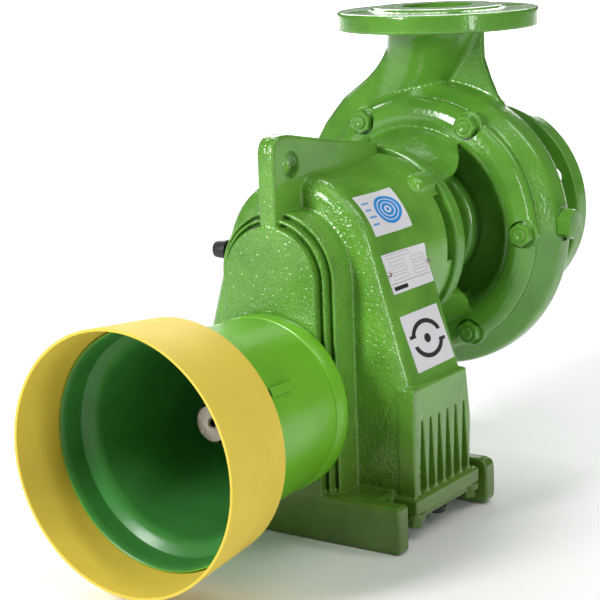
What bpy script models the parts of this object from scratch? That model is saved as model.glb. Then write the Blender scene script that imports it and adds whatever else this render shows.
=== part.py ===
"""Centrifugal pump driven through a step-up gearbox by a tractor's splined shaft.

The gearbox casting stands on two cross feet. Its front carries the splined input
shaft inside a guard bell with a yellow cuff; its rear carries the lantern, the
pump cover and the volute casing with an upward outlet and a rearward inlet.
Metres, +Z up. The origin is the centre of the front foot's underside, the input
shaft points along -Y and the pump lies along +Y.
"""
import bpy
import bmesh
import math
from mathutils import Vector, Matrix

# Driving dimensions

FOOT_HALF = 0.120          # half length of each cross foot
FOOT_TOP = 0.040           # height of the feet
FRONT_FOOT = (-0.0075, 0.0075)
REAR_FOOT = (0.138, 0.153)

INPUT_Z = 0.1183           # height of the input shaft
GUARD_Z = 0.1157           # height of the guard's axis, a little below the shaft
PUMP_Z = 0.2234            # height of the pump shaft

BODY_FRONT = 0.032         # front wall of the gearbox body
BODY_REAR = 0.118          # rear wall of the wide lower body
DOME_R = 0.075             # radius of the body over the pump shaft
DOME_REAR = 0.157          # rear end of the round upper body
SIDE_TOP = (0.0765, 0.233)     # upper end of the straight side wall
SIDE_LOW = (0.1065, 0.129)     # lower end of the straight side wall
PAD_FACE = 0.1125          # outer face of the ribbed side pad
PAD_Z = (0.034, 0.128)
PAD_REAR = (0.1300, 0.1193)    # rear end of the pad at its foot and at its top
RIB_PITCH = 0.0138             # spacing of the pad's ribs
FIRST_GROOVE = 0.0446
FLANGE_Y = (0.0270, 0.1330)
FLANGE_Z = (0.023, 0.036)
COVER_Z = (0.016, 0.0227)      # bottom cover under the flange
DRAIN = (0.1030, 0.0820)       # drain plug in the bottom cover

ARCH_HALF = (0.045, 0.050, 0.0545)     # half widths of the stepped front arch
ARCH_FACE = (-0.0074, -0.0015, 0.0045)  # front face of each step
ARCH_CENTRE_Z = 0.218

LUG_HALF = 0.008           # half thickness of the lifting lug
LUG_HOLE = (0.0198, 0.3105)
LUG_HOLE_R = 0.011

LANTERN_R = 0.0844         # outer radius of the lantern's front flange
LANTERN_FRONT = 0.1573
LANTERN_FLANGE_REAR = 0.172
SEAM_Y = 0.2415            # joint between pump cover and casing
SEAM_R = 0.1183
DISH_FLOOR = 0.253
COVER_BACK = 0.262
STUD_CIRCLE = 0.1092

VOLUTE_MID = 0.275         # plane of the volute's widest line
CASING_BACK = 0.320
OUTLET_CUT = 0.3870        # height where the outlet branch is parted off
INLET_CUT = 0.3250         # place along Y where the inlet branch is parted off
WALL = 0.007
PLUG_SEAT = 0.1293         # seat of the side plug
PLUG_Y, PLUG_Z = 0.2690, 0.2284
OUTLET_FACE = 0.4219       # raised face of the outlet flange
OUTLET_RIM = 0.4189
OUTLET_RIM_LOW = 0.4019
OUTLET_FLANGE_R = 0.0925
OUTLET_BORE = 0.0325
INLET_FACE = 0.383
INLET_RIM = (0.360, 0.380)
INLET_FLANGE_R = 0.100
INLET_BORE = 0.040

SHAFT_TIP = -0.0928        # end of the splined input shaft
SPLINE_R = 0.01745
BELL_REAR = -0.0078
BELL_STEP = -0.1385        # inner step ring of the guard bell
BELL_RIM = -0.1645
CUFF_REAR = (-0.1300, 0.0975)   # position along Y and outer radius
CUFF_FRONT = (-0.2088, 0.1052)
CUFF_WALL = 0.0022

GAP = 0.0003               # clearance between touching pieces

PUMP_AXIS = (0.0, 0.0, PUMP_Z)
INPUT_AXIS = (0.0, 0.0, INPUT_Z)
GUARD_AXIS = (0.0, 0.0, GUARD_Z)


# Scene and helpers

for old in list(bpy.data.objects):
    bpy.data.objects.remove(old, do_unlink=True)

PARTS = bpy.data.collections.new("centrifugal_pump")
CUTTERS = bpy.data.collections.new("cutters")
bpy.context.scene.collection.children.link(PARTS)
bpy.context.scene.collection.children.link(CUTTERS)


def material(name, colour, roughness, metallic=0.0):
    """One Principled material."""
    mat = bpy.data.materials.new(name)
    mat.use_nodes = True
    shader = mat.node_tree.nodes["Principled BSDF"]
    shader.inputs["Base Color"].default_value = (*colour, 1.0)
    shader.inputs["Roughness"].default_value = roughness
    shader.inputs["Metallic"].default_value = metallic
    return mat


CAST_GREEN = material("cast_green_paint", (0.075, 0.30, 0.035), 0.30)
BELL_GREEN = material("bell_green_paint", (0.12, 0.42, 0.03), 0.28)
CUFF_YELLOW = material("yellow_plastic", (0.70, 0.50, 0.07), 0.45)
STEEL = material("bright_steel", (0.42, 0.40, 0.38), 0.40, 1.0)
BLACK = material("black_plastic", (0.02, 0.02, 0.02), 0.5)
CAST_IRON = material("bare_cast_iron", (0.16, 0.15, 0.14), 0.6, 1.0)


def move_to(obj, collection):
    """Put an object into one collection only."""
    for owner in list(obj.users_collection):
        owner.objects.unlink(obj)
    collection.objects.link(obj)
    return obj


def as_cutter(obj):
    """Keep a tool object out of the model."""
    move_to(obj, CUTTERS)
    obj.hide_render = True
    obj.display_type = 'WIRE'
    return obj


def box(x, y, z):
    """A box between two limits on each axis, with its scale applied."""
    centre = [(a[0] + a[1]) / 2 for a in (x, y, z)]
    size = [a[1] - a[0] for a in (x, y, z)]
    bpy.ops.mesh.primitive_cube_add(size=1.0, location=centre)
    obj = bpy.context.object
    obj.scale = size
    bpy.ops.object.transform_apply(location=False, rotation=False, scale=True)
    return obj


def rod(radius, start, end, sides=32, radius_end=None):
    """A cylinder or cone from one point to another."""
    start, end = Vector(start), Vector(end)
    axis = end - start
    bpy.ops.mesh.primitive_cone_add(
        vertices=sides, radius1=radius, radius2=radius if radius_end is None else radius_end,
        depth=axis.length, location=(start + end) / 2)
    obj = bpy.context.object
    obj.rotation_euler = axis.to_track_quat('Z', 'Y').to_euler()
    return obj


def turned(name, profile, axis_point, sides=64, phase=0.0):
    """Turn a closed outline of (radius, y) about a line parallel to Y.

    The phase, in degrees, keeps the facets of joined pieces from lining up.
    """
    area = sum(a[0] * b[1] - b[0] * a[1]
               for a, b in zip(profile, profile[1:] + profile[:1]))
    if area > 0:
        profile = profile[::-1]
    on_axis = [i for i, (r, _) in enumerate(profile) if r < 1e-9]
    closed = len(on_axis) < 2
    if not closed:
        # Roll the outline so that its open ends lie on the axis.
        n = len(profile)
        for i in on_axis:
            if profile[(i + 1) % n][0] > 1e-9:
                profile = profile[i:] + profile[:i]
                break
    mesh = bpy.data.meshes.new(name)
    bm = bmesh.new()
    verts = [bm.verts.new((r, 0.0, y)) for r, y in profile]
    for a, b in zip(verts, verts[1:]):
        bm.edges.new((a, b))
    if closed:
        bm.edges.new((verts[-1], verts[0]))
    bm.to_mesh(mesh)
    bm.free()
    obj = bpy.data.objects.new(name, mesh)
    bpy.context.scene.collection.objects.link(obj)
    obj.location = (axis_point[0], 0.0, axis_point[2])
    obj.rotation_euler = (math.radians(-90), 0.0, 0.0)
    mesh.transform(Matrix.Rotation(math.radians(phase), 4, 'Z'))
    screw = obj.modifiers.new("turn", 'SCREW')
    screw.axis = 'Z'
    screw.angle = math.tau
    screw.steps = screw.render_steps = sides
    screw.use_merge_vertices = True
    screw.merge_threshold = 0.0001
    screw.use_smooth_shade = True
    return baked(obj)


def baked(obj):
    """Replace an object's mesh or curve with its evaluated mesh in world space."""
    depsgraph = bpy.context.evaluated_depsgraph_get()
    mesh = bpy.data.meshes.new_from_object(obj.evaluated_get(depsgraph))
    name, matrix = obj.name, obj.matrix_world.copy()
    mesh.transform(matrix)
    bm = bmesh.new()
    bm.from_mesh(mesh)
    bmesh.ops.remove_doubles(bm, verts=bm.verts, dist=0.00001)
    bm.to_mesh(mesh)
    bm.free()
    bpy.data.objects.remove(obj, do_unlink=True)
    solid = bpy.data.objects.new(name, mesh)
    bpy.context.scene.collection.objects.link(solid)
    return solid


def plate(name, points, low, high, plane='XZ'):
    """A flat outline given a thickness.

    XZ outlines are (x, z) and run through the thickness along Y; YZ outlines are
    (y, z) and run along X; XY outlines are (x, y) and run along Z.
    """
    curve = bpy.data.curves.new(name, 'CURVE')
    curve.dimensions = '2D'
    curve.fill_mode = 'BOTH'
    curve.extrude = (high - low) / 2
    spline = curve.splines.new('POLY')
    spline.points.add(len(points) - 1)
    for point, (a, b) in zip(spline.points, points):
        point.co = (a, b, 0.0, 1.0)
    spline.use_cyclic_u = True
    obj = bpy.data.objects.new(name, curve)
    bpy.context.scene.collection.objects.link(obj)
    middle = (low + high) / 2
    if plane == 'XZ':
        obj.matrix_world = Matrix(((1, 0, 0, 0), (0, 0, -1, middle), (0, 1, 0, 0), (0, 0, 0, 1)))
    elif plane == 'YZ':
        obj.matrix_world = Matrix(((0, 0, 1, middle), (1, 0, 0, 0), (0, 1, 0, 0), (0, 0, 0, 1)))
    else:
        obj.matrix_world = Matrix.Translation((0, 0, middle))
    bpy.context.view_layer.update()
    return baked(obj)


def combine(obj, tools, operation):
    """Join or cut with the EXACT Boolean, keeping each tool as a guide."""
    for tool in tools:
        as_cutter(tool)
        step = obj.modifiers.new(operation.lower(), 'BOOLEAN')
        step.operation = operation
        step.solver = 'EXACT'
        step.object = tool
    return obj


def settle(obj):
    """Evaluate the modifiers so far, so that later steps work on a plain mesh."""
    name = obj.name
    solid = baked(obj)
    solid.name = name
    return solid


def finish(obj, name, mat, angle=35):
    """Name the piece, give it its material and shade its round faces smooth."""
    obj = settle(obj)
    obj.name = name
    obj.data.name = name
    obj.data.materials.clear()
    obj.data.materials.append(mat)
    obj.data.shade_smooth()
    obj.data.set_sharp_from_angle(angle=math.radians(angle))
    move_to(obj, PARTS)
    return obj


def bevel(obj, width, segments=2, angle=40):
    """Round the sharp edges."""
    step = obj.modifiers.new("rounding", 'BEVEL')
    step.width = width
    step.segments = segments
    step.limit_method = 'ANGLE'
    step.angle_limit = math.radians(angle)
    return obj


def arc(centre, radius, start, end, steps):
    """Points of an arc in degrees, both ends included."""
    return [(centre[0] + radius * math.cos(math.radians(start + (end - start) * i / steps)),
             centre[1] + radius * math.sin(math.radians(start + (end - start) * i / steps)))
            for i in range(steps + 1)]


def on_circle(radius, degrees):
    """X and Z of a point on a circle about the pump shaft."""
    return (radius * math.cos(math.radians(degrees)),
            PUMP_Z + radius * math.sin(math.radians(degrees)))


def loft(name, rings, closed=False):
    """Faces between rings of points; closed joins the last ring to the first."""
    bm = bmesh.new()
    rows = [[bm.verts.new(p) for p in ring] for ring in rings]
    pairs = list(zip(rows, rows[1:]))
    if closed:
        pairs.append((rows[-1], rows[0]))
    n = len(rows[0])
    for a, b in pairs:
        for i in range(n):
            j = (i + 1) % n
            bm.faces.new((a[i], a[j], b[j], b[i]))
    if not closed:
        bm.faces.new(rows[0][::-1])
        bm.faces.new(rows[-1])
    bmesh.ops.recalc_face_normals(bm, faces=bm.faces)
    mesh = bpy.data.meshes.new(name)
    bm.to_mesh(mesh)
    bm.free()
    obj = bpy.data.objects.new(name, mesh)
    bpy.context.scene.collection.objects.link(obj)
    return obj


# Gearbox

def body_outline():
    """Front view of the gearbox body: round top, sloping sides, straight foot."""
    right = [(SIDE_LOW[0], 0.0), SIDE_LOW]
    dome = arc((0.0, PUMP_Z), DOME_R, 16, 164, 20)
    left = [(-SIDE_LOW[0], SIDE_LOW[1]), (-SIDE_LOW[0], 0.0)]
    return right + dome + left


def arch_outline(half, bottom):
    """One step of the arched front panel."""
    top = arc((0.0, ARCH_CENTRE_Z), half, 0, 180, 18)
    return [(half, bottom)] + top + [(-half, bottom)]


def side_pad(side):
    """The ribbed pad with its base flange on one side of the body."""
    front = BODY_FRONT - 0.0008
    outline = [(front, 0.015), (PAD_REAR[0], 0.015), (PAD_REAR[0], FLANGE_Z[1] + 0.004),
               (PAD_REAR[1], PAD_Z[1]), (front, PAD_Z[1])]
    low, high = sorted((side * 0.098, side * PAD_FACE))
    pad = plate("pad", outline, low, high, 'YZ')
    flange_low, flange_high = sorted((side * 0.090, side * (PAD_FACE + 0.0035)))
    flange = plate("pad_flange", [(FLANGE_Y[0], 0.015), (FLANGE_Y[1], 0.015),
                                  (FLANGE_Y[1], FLANGE_Z[1]), (FLANGE_Y[0], FLANGE_Z[1])],
                   flange_low, flange_high, 'YZ')
    grooves = []
    foot, top = FLANGE_Z[1] + 0.0048, 0.092
    for i in range(6):
        y, half = FIRST_GROOVE + RIB_PITCH * i, 0.0050
        groove = [(y - 0.6 * half, top), (y - half, foot)]
        groove += arc((y, foot), half, 180, 360, 6)[1:-1]
        groove += [(y + half, foot), (y + 0.6 * half, top)]
        inner, outer = sorted((side * (PAD_FACE - 0.0045), side * (PAD_FACE + 0.003)))
        grooves.append(plate("pad_groove", groove, inner, outer, 'YZ'))
    return pad, flange, grooves


def foot_outline(corner):
    """Front view of a cross foot with rounded upper corners."""
    x, z = FOOT_HALF - corner, FOOT_TOP - corner
    return ([(-FOOT_HALF, 0.0), (FOOT_HALF, 0.0)] + arc((x, z), corner, 0, 90, 4)
            + arc((-x, z), corner, 90, 180, 4))


def round_face(obj, y, width, segments):
    """Round the outer edges of the flat face that lies at one place along Y."""
    bm = bmesh.new()
    bm.from_mesh(obj.data)
    rim = [edge for edge in bm.edges
           if all(abs(vert.co.y - y) < 0.00001 for vert in edge.verts)
           and edge.calc_face_angle(0.0) > 1.0]
    bmesh.ops.bevel(bm, geom=rim, offset=width, segments=segments, profile=0.5, affect='EDGES')
    bm.to_mesh(obj.data)
    bm.free()


def lifting_lug():
    """Side view of the lug: a hook at the front, sloping down to the rear."""
    outline = [(-0.0065, 0.255), (0.1565, 0.255), (0.1565, 0.3105), (0.1545, 0.3115)]
    outline += [(0.060, 0.3275), (0.024, 0.3345), (0.012, 0.3362)]
    outline += arc((0.0085, 0.3215), 0.015, 80, 180, 8)
    return plate("lug", outline, -LUG_HALF, LUG_HALF, 'YZ')


def gearbox_housing():
    """The gearbox casting with its feet, arch, pads and lug."""
    body = plate("gearbox_housing", body_outline(), BODY_FRONT, BODY_REAR)
    round_face(body, BODY_FRONT, 0.012, 3)
    round_face(body, BODY_REAR, 0.0025, 1)
    tail = plate("tail", [(BODY_REAR - 0.013, 0.012), (REAR_FOOT[1] - 0.0023, 0.012),
                          (REAR_FOOT[1] - 0.0023, FOOT_TOP - 0.0021), (0.1394, FOOT_TOP + 0.020),
                          (BODY_REAR - 0.013, 0.140)], -0.082, 0.082, 'YZ')
    joins, cuts = [tail], []
    for side in (1, -1):
        pad, flange, grooves = side_pad(side)
        joins += [pad, flange]
        cuts += grooves
    combine(body, joins, 'UNION')
    body = settle(body)
    cuts.append(box((-0.200, 0.200), (-0.050, 0.200), (-0.020, FLANGE_Z[0])))
    combine(body, cuts, 'DIFFERENCE')
    body = settle(body)
    neck = turned("neck", [(0.0, BODY_FRONT + 0.008), (0.070, BODY_FRONT + 0.008),
                           (0.0765, 0.100), (0.0805, 0.138), (0.0805, DOME_REAR - 0.0002),
                           (0.0, DOME_REAR - 0.0002)], PUMP_AXIS, 40, 2.3)
    joins = [neck] + [plate("arch_step", arch_outline(half, FOOT_TOP - 0.005 + 0.001 * i), face,
                            BODY_FRONT + 0.010 + 0.001 * i)
                      for i, (half, face) in enumerate(zip(ARCH_HALF, ARCH_FACE))]
    for span, corner in ((FRONT_FOOT, 0.0035), (REAR_FOOT, 0.0080)):
        foot = plate("foot", foot_outline(corner), *span)
        bevel(foot, 0.0012, 1, 50)
        joins.append(settle(foot))
    joins.append(box((-0.092, 0.092), (FRONT_FOOT[0] + 0.003, BODY_FRONT + 0.012),
                     (FLANGE_Z[0] + 0.005, FOOT_TOP - 0.0003)))
    joins.append(lifting_lug())
    for side in (1, -1):
        x, z = side * 0.0535, 0.2765
        joins.append(rod(0.0095, (x, 0.132, z), (x, DOME_REAR - 0.0005, z), 20))
        joins.append(rod(0.0055, (x, 0.1285, z), (x, 0.134, z), 20, 0.0095))
    combine(body, joins, 'UNION')
    body = settle(body)
    cuts = []
    cuts.append(rod(LUG_HOLE_R, (-0.02, LUG_HOLE[0], LUG_HOLE[1]),
                    (0.02, LUG_HOLE[0], LUG_HOLE[1]), 24))
    cuts.append(turned("input_bore", [(0.0, -0.020), (0.0203, -0.020), (0.0203, 0.026),
                                      (0.0, 0.026)], INPUT_AXIS, 40, 1.7))
    cuts.append(turned("output_bore", [(0.0, 0.130), (0.01435, 0.130), (0.01435, 0.170),
                                       (0.0, 0.170)], PUMP_AXIS, 36))
    # Sickle-shaped pocket between the body and the lantern flange, on each side.
    for low, high in ((-8, 34), (146, 188)):
        ring = arc((0.0, PUMP_Z), 0.068, low, high, 8) + arc((0.0, PUMP_Z), 0.092, high, low, 8)
        cuts.append(plate("pocket", ring, 0.1475, DOME_REAR + 0.002))
    cuts.append(rod(0.0062, (-0.0915, 0.045, 0.228), (-0.066, 0.045, 0.228), 20))
    cuts.append(rod(0.0094, (-0.0915, 0.045, 0.228), (-0.0782, 0.045, 0.228), 24))
    combine(body, cuts, 'DIFFERENCE')
    return finish(body, "gearbox_housing", CAST_GREEN)


def sump_parts():
    """Bottom cover of the gearbox with four corner ears, and the drain plug under it."""
    low, high = COVER_Z
    cover = box((-0.1115, 0.1115), (BODY_FRONT + 0.001, FLANGE_Y[1] - 0.001), (low, high))
    bevel(cover, 0.0015, 2)
    ears = [rod(0.0092, (side * 0.1064, y, low + 0.0004), (side * 0.1064, y, high - 0.0004), 22)
            for side in (1, -1) for y in (0.0385, 0.1280)]
    cover = settle(cover)
    combine(cover, ears, 'UNION')
    cover = settle(cover)
    x, y = DRAIN
    combine(cover, [rod(0.0054, (x, y, low - 0.005), (x, y, high - 0.0025), 20)], 'DIFFERENCE')
    finish(cover, "sump_cover", CAST_GREEN)
    plug = rod(0.0051, (x, y, low - 0.003), (x, y, high - 0.0029), 20)
    head = rod(0.0080, (x, y, low - 0.0075), (x, y, low - GAP), 24)
    combine(plug, [head], 'UNION')
    finish(plug, "sump_drain_plug", BLACK)


def breather():
    """Black vent plug on the left side of the body."""
    plug = rod(0.0059, (-0.068, 0.045, 0.228), (-0.080, 0.045, 0.228), 24)
    cap = rod(0.0088, (-0.0785, 0.045, 0.228), (-0.0920, 0.045, 0.228), 24)
    combine(plug, [cap], 'UNION')
    finish(plug, "breather_plug", BLACK)


# Input shaft and its guard

def pto_shaft():
    """Six-spline input shaft with its ball groove and centre hole."""
    profile = [(0.0, SHAFT_TIP), (0.0145, SHAFT_TIP), (SPLINE_R, SHAFT_TIP + 0.0035),
               (SPLINE_R, -0.0580), (0.0147, -0.0555), (0.0147, -0.0490),
               (SPLINE_R, -0.0465), (SPLINE_R, -0.0145), (0.0200, -0.0130),
               (0.0200, 0.0255), (0.0, 0.0255)]
    shaft = turned("pto_shaft", profile, INPUT_AXIS, 48)
    cuts = [rod(0.003, (0, SHAFT_TIP - 0.002, INPUT_Z), (0, SHAFT_TIP + 0.012, INPUT_Z), 16)]
    for i in range(6):
        angle = math.radians(60 * i + 30)
        groove = box((-0.0043, 0.0043), (SHAFT_TIP - 0.002, -0.0200), (0.0148, 0.022))
        bpy.ops.object.transform_apply(location=True, rotation=False, scale=True)
        groove.matrix_world = (Matrix.Translation((0, 0, INPUT_Z))
                               @ Matrix.Rotation(angle, 4, 'Y'))
        cuts.append(groove)
    combine(shaft, cuts, 'DIFFERENCE')
    return finish(shaft, "pto_shaft", STEEL)


def guard_bell():
    """Painted bell around the input shaft, with the flat on its lower left."""
    outer = [(0.0, BELL_REAR), (0.0740, BELL_REAR), (0.0755, -0.0115), (0.0755, -0.0170),
             (0.0745, -0.0200), (0.0765, -0.0600), (0.0800, -0.1000), (0.0830, -0.1300),
             (0.0880, -0.1390), (0.0945, -0.1425), (0.0955, -0.1480), (0.0962, -0.1580),
             (0.0975, -0.1625), (0.0975, BELL_RIM), (0.0, BELL_RIM)]
    inner = [(0.0, 0.0100), (0.0490, 0.0100), (0.0490, -0.0135), (0.0700, -0.0135),
             (0.0715, -0.0200), (0.0735, -0.0600), (0.0770, -0.1000), (0.0798, -0.1330),
             (0.0866, -0.1415), (0.0915, -0.1450),
             (0.0925, -0.1490), (0.0932, -0.1590), (0.0950, -0.1630), (0.0950, -0.1700),
             (0.0, -0.1700)]
    shell = turned("guard_bell", outer, GUARD_AXIS, 48)
    hollow = turned("bell_hollow", inner, GUARD_AXIS, 48)
    slope = math.radians(-148)
    across = Matrix.Translation((0, 0, GUARD_Z)) @ Matrix.Rotation(-slope, 4, 'Y')
    outside = box((0.0748, 0.110), (-0.1260, -0.0400), (-0.060, 0.060))
    inside = box((0.0718, 0.110), (-0.1290, -0.0300), (-0.060, 0.060))
    for tool in (outside, inside):
        tool.matrix_world = across @ tool.matrix_world
    combine(hollow, [inside], 'DIFFERENCE')
    hollow = settle(hollow)
    combine(shell, [outside, hollow], 'DIFFERENCE')
    shell = settle(shell)
    # Short raised tab along the right-hand side.
    tab = box((-0.0035, 0.0035), (-0.1100, -0.0800), (0.0765, 0.0835))
    tab.matrix_world = (Matrix.Translation((0, 0, GUARD_Z))
                        @ Matrix.Rotation(math.radians(60), 4, 'Y') @ tab.matrix_world)
    combine(shell, [tab], 'UNION')
    return finish(shell, "guard_bell", BELL_GREEN)


def guard_cuff():
    """Thin tapered plastic cuff pushed over the bell's rim."""
    (y0, r0), (y1, r1) = CUFF_REAR, CUFF_FRONT
    profile = [(r0 - CUFF_WALL, y0), (r0, y0), (r1, y1), (r1 - CUFF_WALL, y1)]
    cuff = turned("guard_cuff", profile, GUARD_AXIS, 72)
    return finish(cuff, "guard_cuff", CUFF_YELLOW)


def bearing_cap():
    """Round cap around the input shaft where it leaves the panel."""
    profile = [(0.0205, BELL_REAR), (0.0205, -0.0125), (0.0250, -0.0140), (0.0430, -0.0140),
               (0.0450, -0.0120), (0.0450, BELL_REAR)]
    cap = turned("input_bearing_cap", profile, INPUT_AXIS, 36)
    return finish(cap, "input_bearing_cap", CAST_GREEN)


# Lantern, cover and shaft

# Walls of the lantern: place along Y, inner and outer radius, and the angles where
# the roof and the lower walls end beside the side windows.
LANTERN_RINGS = ((0.166, 0.0610, 0.0805, 42.0, 38.0), (0.182, 0.0635, 0.0808, 42.5, 38.5),
                 (0.200, 0.0660, 0.0815, 44.0, 40.0), (0.218, 0.0690, 0.0865, 52.0, 46.0),
                 (0.232, 0.0725, 0.0930, 62.0, 55.0), (0.2545, 0.0750, 0.0950, 64.0, 57.0))
DRIP_ANGLE = 78            # edge of the bottom opening, below the horizontal


def lantern_walls():
    """Roof and two lower walls, which widen and flare to meet the cover."""
    roof, right, left = [], [], []
    for y, inner, reach, top, under in LANTERN_RINGS:
        for rings, low, high, steps in ((roof, top, 180 - top, 16), (right, -DRIP_ANGLE, -under, 6),
                                        (left, under - 180, DRIP_ANGLE - 180, 6)):
            edge = arc((0.0, PUMP_Z), reach, low, high, steps)
            edge += arc((0.0, PUMP_Z), inner, high, low, steps)
            rings.append([(x, y, z) for x, z in edge])
    return [loft("lantern_wall", rings) for rings in (roof, right, left)]


def lantern_cover():
    """Lantern flange, closed roof, lower walls and the dished pump cover in one casting."""
    flange = turned("lantern_cover", [(0.030, LANTERN_FRONT), (LANTERN_R, LANTERN_FRONT),
                                      (LANTERN_R, LANTERN_FLANGE_REAR - 0.002),
                                      (LANTERN_R - 0.003, LANTERN_FLANGE_REAR),
                                      (0.030, LANTERN_FLANGE_REAR)], PUMP_AXIS, 44)
    dish = [(0.026, DISH_FLOOR), (0.079, DISH_FLOOR), (0.0807, 0.2495), (0.0845, 0.2400),
            (0.0900, 0.2315), (0.0970, 0.2272), (0.1060, 0.2268), (0.1130, 0.2305),
            (0.1170, 0.2360), (SEAM_R, SEAM_Y - 0.0015), (SEAM_R, SEAM_Y - GAP),
            (0.0995, SEAM_Y - GAP), (0.0995, COVER_BACK), (0.026, COVER_BACK)]
    cover = turned("dish", dish, PUMP_AXIS, 44)
    combine(flange, [cover] + lantern_walls(), 'UNION')
    flange = settle(flange)
    cuts = []
    for i in range(6):
        x, z = on_circle(STUD_CIRCLE, 60 * i)
        cuts.append(rod(0.0066, (x, 0.215, z), (x, 0.250, z), 12))
        cuts.append(rod(0.0120, (x, 0.215, z), (x, 0.2320, z), 16))
    combine(flange, cuts, 'DIFFERENCE')
    return finish(flange, "lantern_cover", CAST_GREEN)


def seal_housing():
    """Round housing of the shaft seal on the floor of the dish."""
    profile = [(0.022, 0.2345), (0.052, 0.2345), (0.055, 0.2375), (0.055, DISH_FLOOR - GAP),
               (0.022, DISH_FLOOR - GAP)]
    return finish(turned("seal_housing", profile, PUMP_AXIS, 40), "seal_housing", CAST_GREEN)


def pump_shaft():
    """Shaft from the gearbox to the impeller."""
    profile = [(0.0, 0.1310), (0.0140, 0.1310), (0.0140, 0.2640), (0.0110, 0.2640),
               (0.0110, 0.2960), (0.0060, 0.2960), (0.0060, 0.3120), (0.0, 0.3120)]
    return finish(turned("pump_shaft", profile, PUMP_AXIS, 36), "pump_shaft", STEEL)


def impeller():
    """Closed impeller with five backward-curved vanes."""
    back = turned("impeller", [(0.0113, 0.2645), (0.024, 0.2645), (0.024, 0.2685),
                               (0.086, 0.2685), (0.086, 0.2725), (0.022, 0.2725),
                               (0.018, 0.2950), (0.0113, 0.2950)], PUMP_AXIS, 40)
    front = turned("shroud", [(0.0385, 0.2810), (0.086, 0.2810), (0.086, 0.2850),
                              (0.046, 0.2850), (0.046, 0.3060), (0.0385, 0.3060)],
                   PUMP_AXIS, 40)
    vanes = []
    for i in range(5):
        outer, inner = [], []
        for k in range(7):
            t = k / 6
            radius = 0.034 + 0.050 * t
            angle = 72 * i + 78 * t
            half = math.degrees(0.0022 / radius)
            outer.append(on_circle(radius, angle + half))
            inner.append(on_circle(radius, angle - half))
        vanes.append(plate("vane", outer + inner[::-1], 0.2715, 0.2825))
    combine(back, [front] + vanes, 'UNION')
    return finish(back, "impeller", CAST_IRON)


def impeller_nut():
    """Hexagonal nut that holds the impeller on its shaft."""
    nut = rod(0.0135, (0, 0.2963, PUMP_Z), (0, 0.3075, PUMP_Z), 6)
    hole = rod(0.0063, (0, 0.290, PUMP_Z), (0, 0.315, PUMP_Z), 24)
    combine(nut, [hole], 'DIFFERENCE')
    return finish(nut, "impeller_nut", STEEL)


def cover_fasteners():
    """Six studs and nuts around the pump cover."""
    for i in range(6):
        x, z = on_circle(STUD_CIRCLE, 60 * i)
        stud = rod(0.0060, (x, 0.2210, z), (x, 0.2572, z), 12)
        finish(stud, "cover_stud_%d" % (i + 1), STEEL)
        nut = rod(0.0110, (x, 0.2225, z), (x, 0.2320 - GAP, z), 6)
        hole = rod(0.0063, (x, 0.215, z), (x, 0.240, z), 12)
        combine(nut, [hole], 'DIFFERENCE')
        finish(nut, "cover_nut_%d" % (i + 1), CAST_GREEN)


# Pump casing

def volute_radius(degrees):
    """Outer radius of the volute, growing clockwise from the outlet's right side."""
    turn = (58 - degrees) % 360
    if turn <= 240:
        return 0.128 + 0.016 * turn / 240
    return max(0.144 - 0.015 * (turn - 240) / 60, 0.129)


def volute_outside():
    """Outer skin of the casing without its necks."""
    rings = []
    steps = 48
    for i in range(steps):
        angle = 360 * i / steps
        reach = volute_radius(angle)
        profile = [(0.030, SEAM_Y), (SEAM_R, SEAM_Y), (SEAM_R + 0.0012, 0.2435),
                   (reach - 0.0040, 0.2555), (reach - 0.0022, 0.2575),
                   (reach - 0.0005, 0.2620), (reach, 0.2670), (reach, 0.2740),
                   (reach - 0.0035, 0.2820), (reach - 0.0090, 0.2880), (0.1120, 0.2940),
                   (0.0900, 0.3020), (0.060, CASING_BACK), (0.030, CASING_BACK)]
        rings.append([(on_circle(r, angle)[0], y, on_circle(r, angle)[1]) for r, y in profile])
    return loft("volute_casing", rings, closed=True)


def volute_inside():
    """Water space of the casing, to be cut out."""
    rings = []
    steps = 41
    for i in range(steps):
        angle = 360 * i / steps
        reach = volute_radius(angle) - WALL
        profile = [(0.020, COVER_BACK + 0.0005), (0.096, COVER_BACK + 0.0005), (0.112, 0.2645),
                   (reach, 0.2690), (reach, 0.2740), (reach - 0.005, 0.2810),
                   (0.104, 0.2865), (0.086, 0.2935), (0.066, 0.3000), (0.020, 0.3090)]
        rings.append([(on_circle(r, angle)[0], y, on_circle(r, angle)[1]) for r, y in profile])
    return loft("water_space", rings, closed=True)


# Outlet neck from the top flange down, as level rings: centre along X, height,
# half width, half depth and centre along Y. It flattens where it meets the volute.
NECK = ((0.0, 0.4050, 0.0480, 0.0480, 0.2750), (-0.0025, 0.3960, 0.0445, 0.0460, 0.2750),
        (-0.0073, 0.3840, 0.0421, 0.0395, 0.2745), (-0.0131, 0.3750, 0.0414, 0.0340, 0.2735),
        (-0.0206, 0.3650, 0.0416, 0.0285, 0.2720), (-0.0295, 0.3550, 0.0430, 0.0240, 0.2705),
        (-0.0410, 0.3450, 0.0450, 0.0215, 0.2700), (-0.0530, 0.3350, 0.0467, 0.0205, 0.2695),
        (-0.0700, 0.3220, 0.0410, 0.0200, 0.2690), (-0.0850, 0.3100, 0.0360, 0.0200, 0.2690),
        (-0.0980, 0.2950, 0.0320, 0.0195, 0.2690), (-0.1060, 0.2750, 0.0300, 0.0190, 0.2690),
        (-0.1120, 0.2500, 0.0260, 0.0180, 0.2690), (-0.1150, 0.2300, 0.0220, 0.0160, 0.2690))


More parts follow.
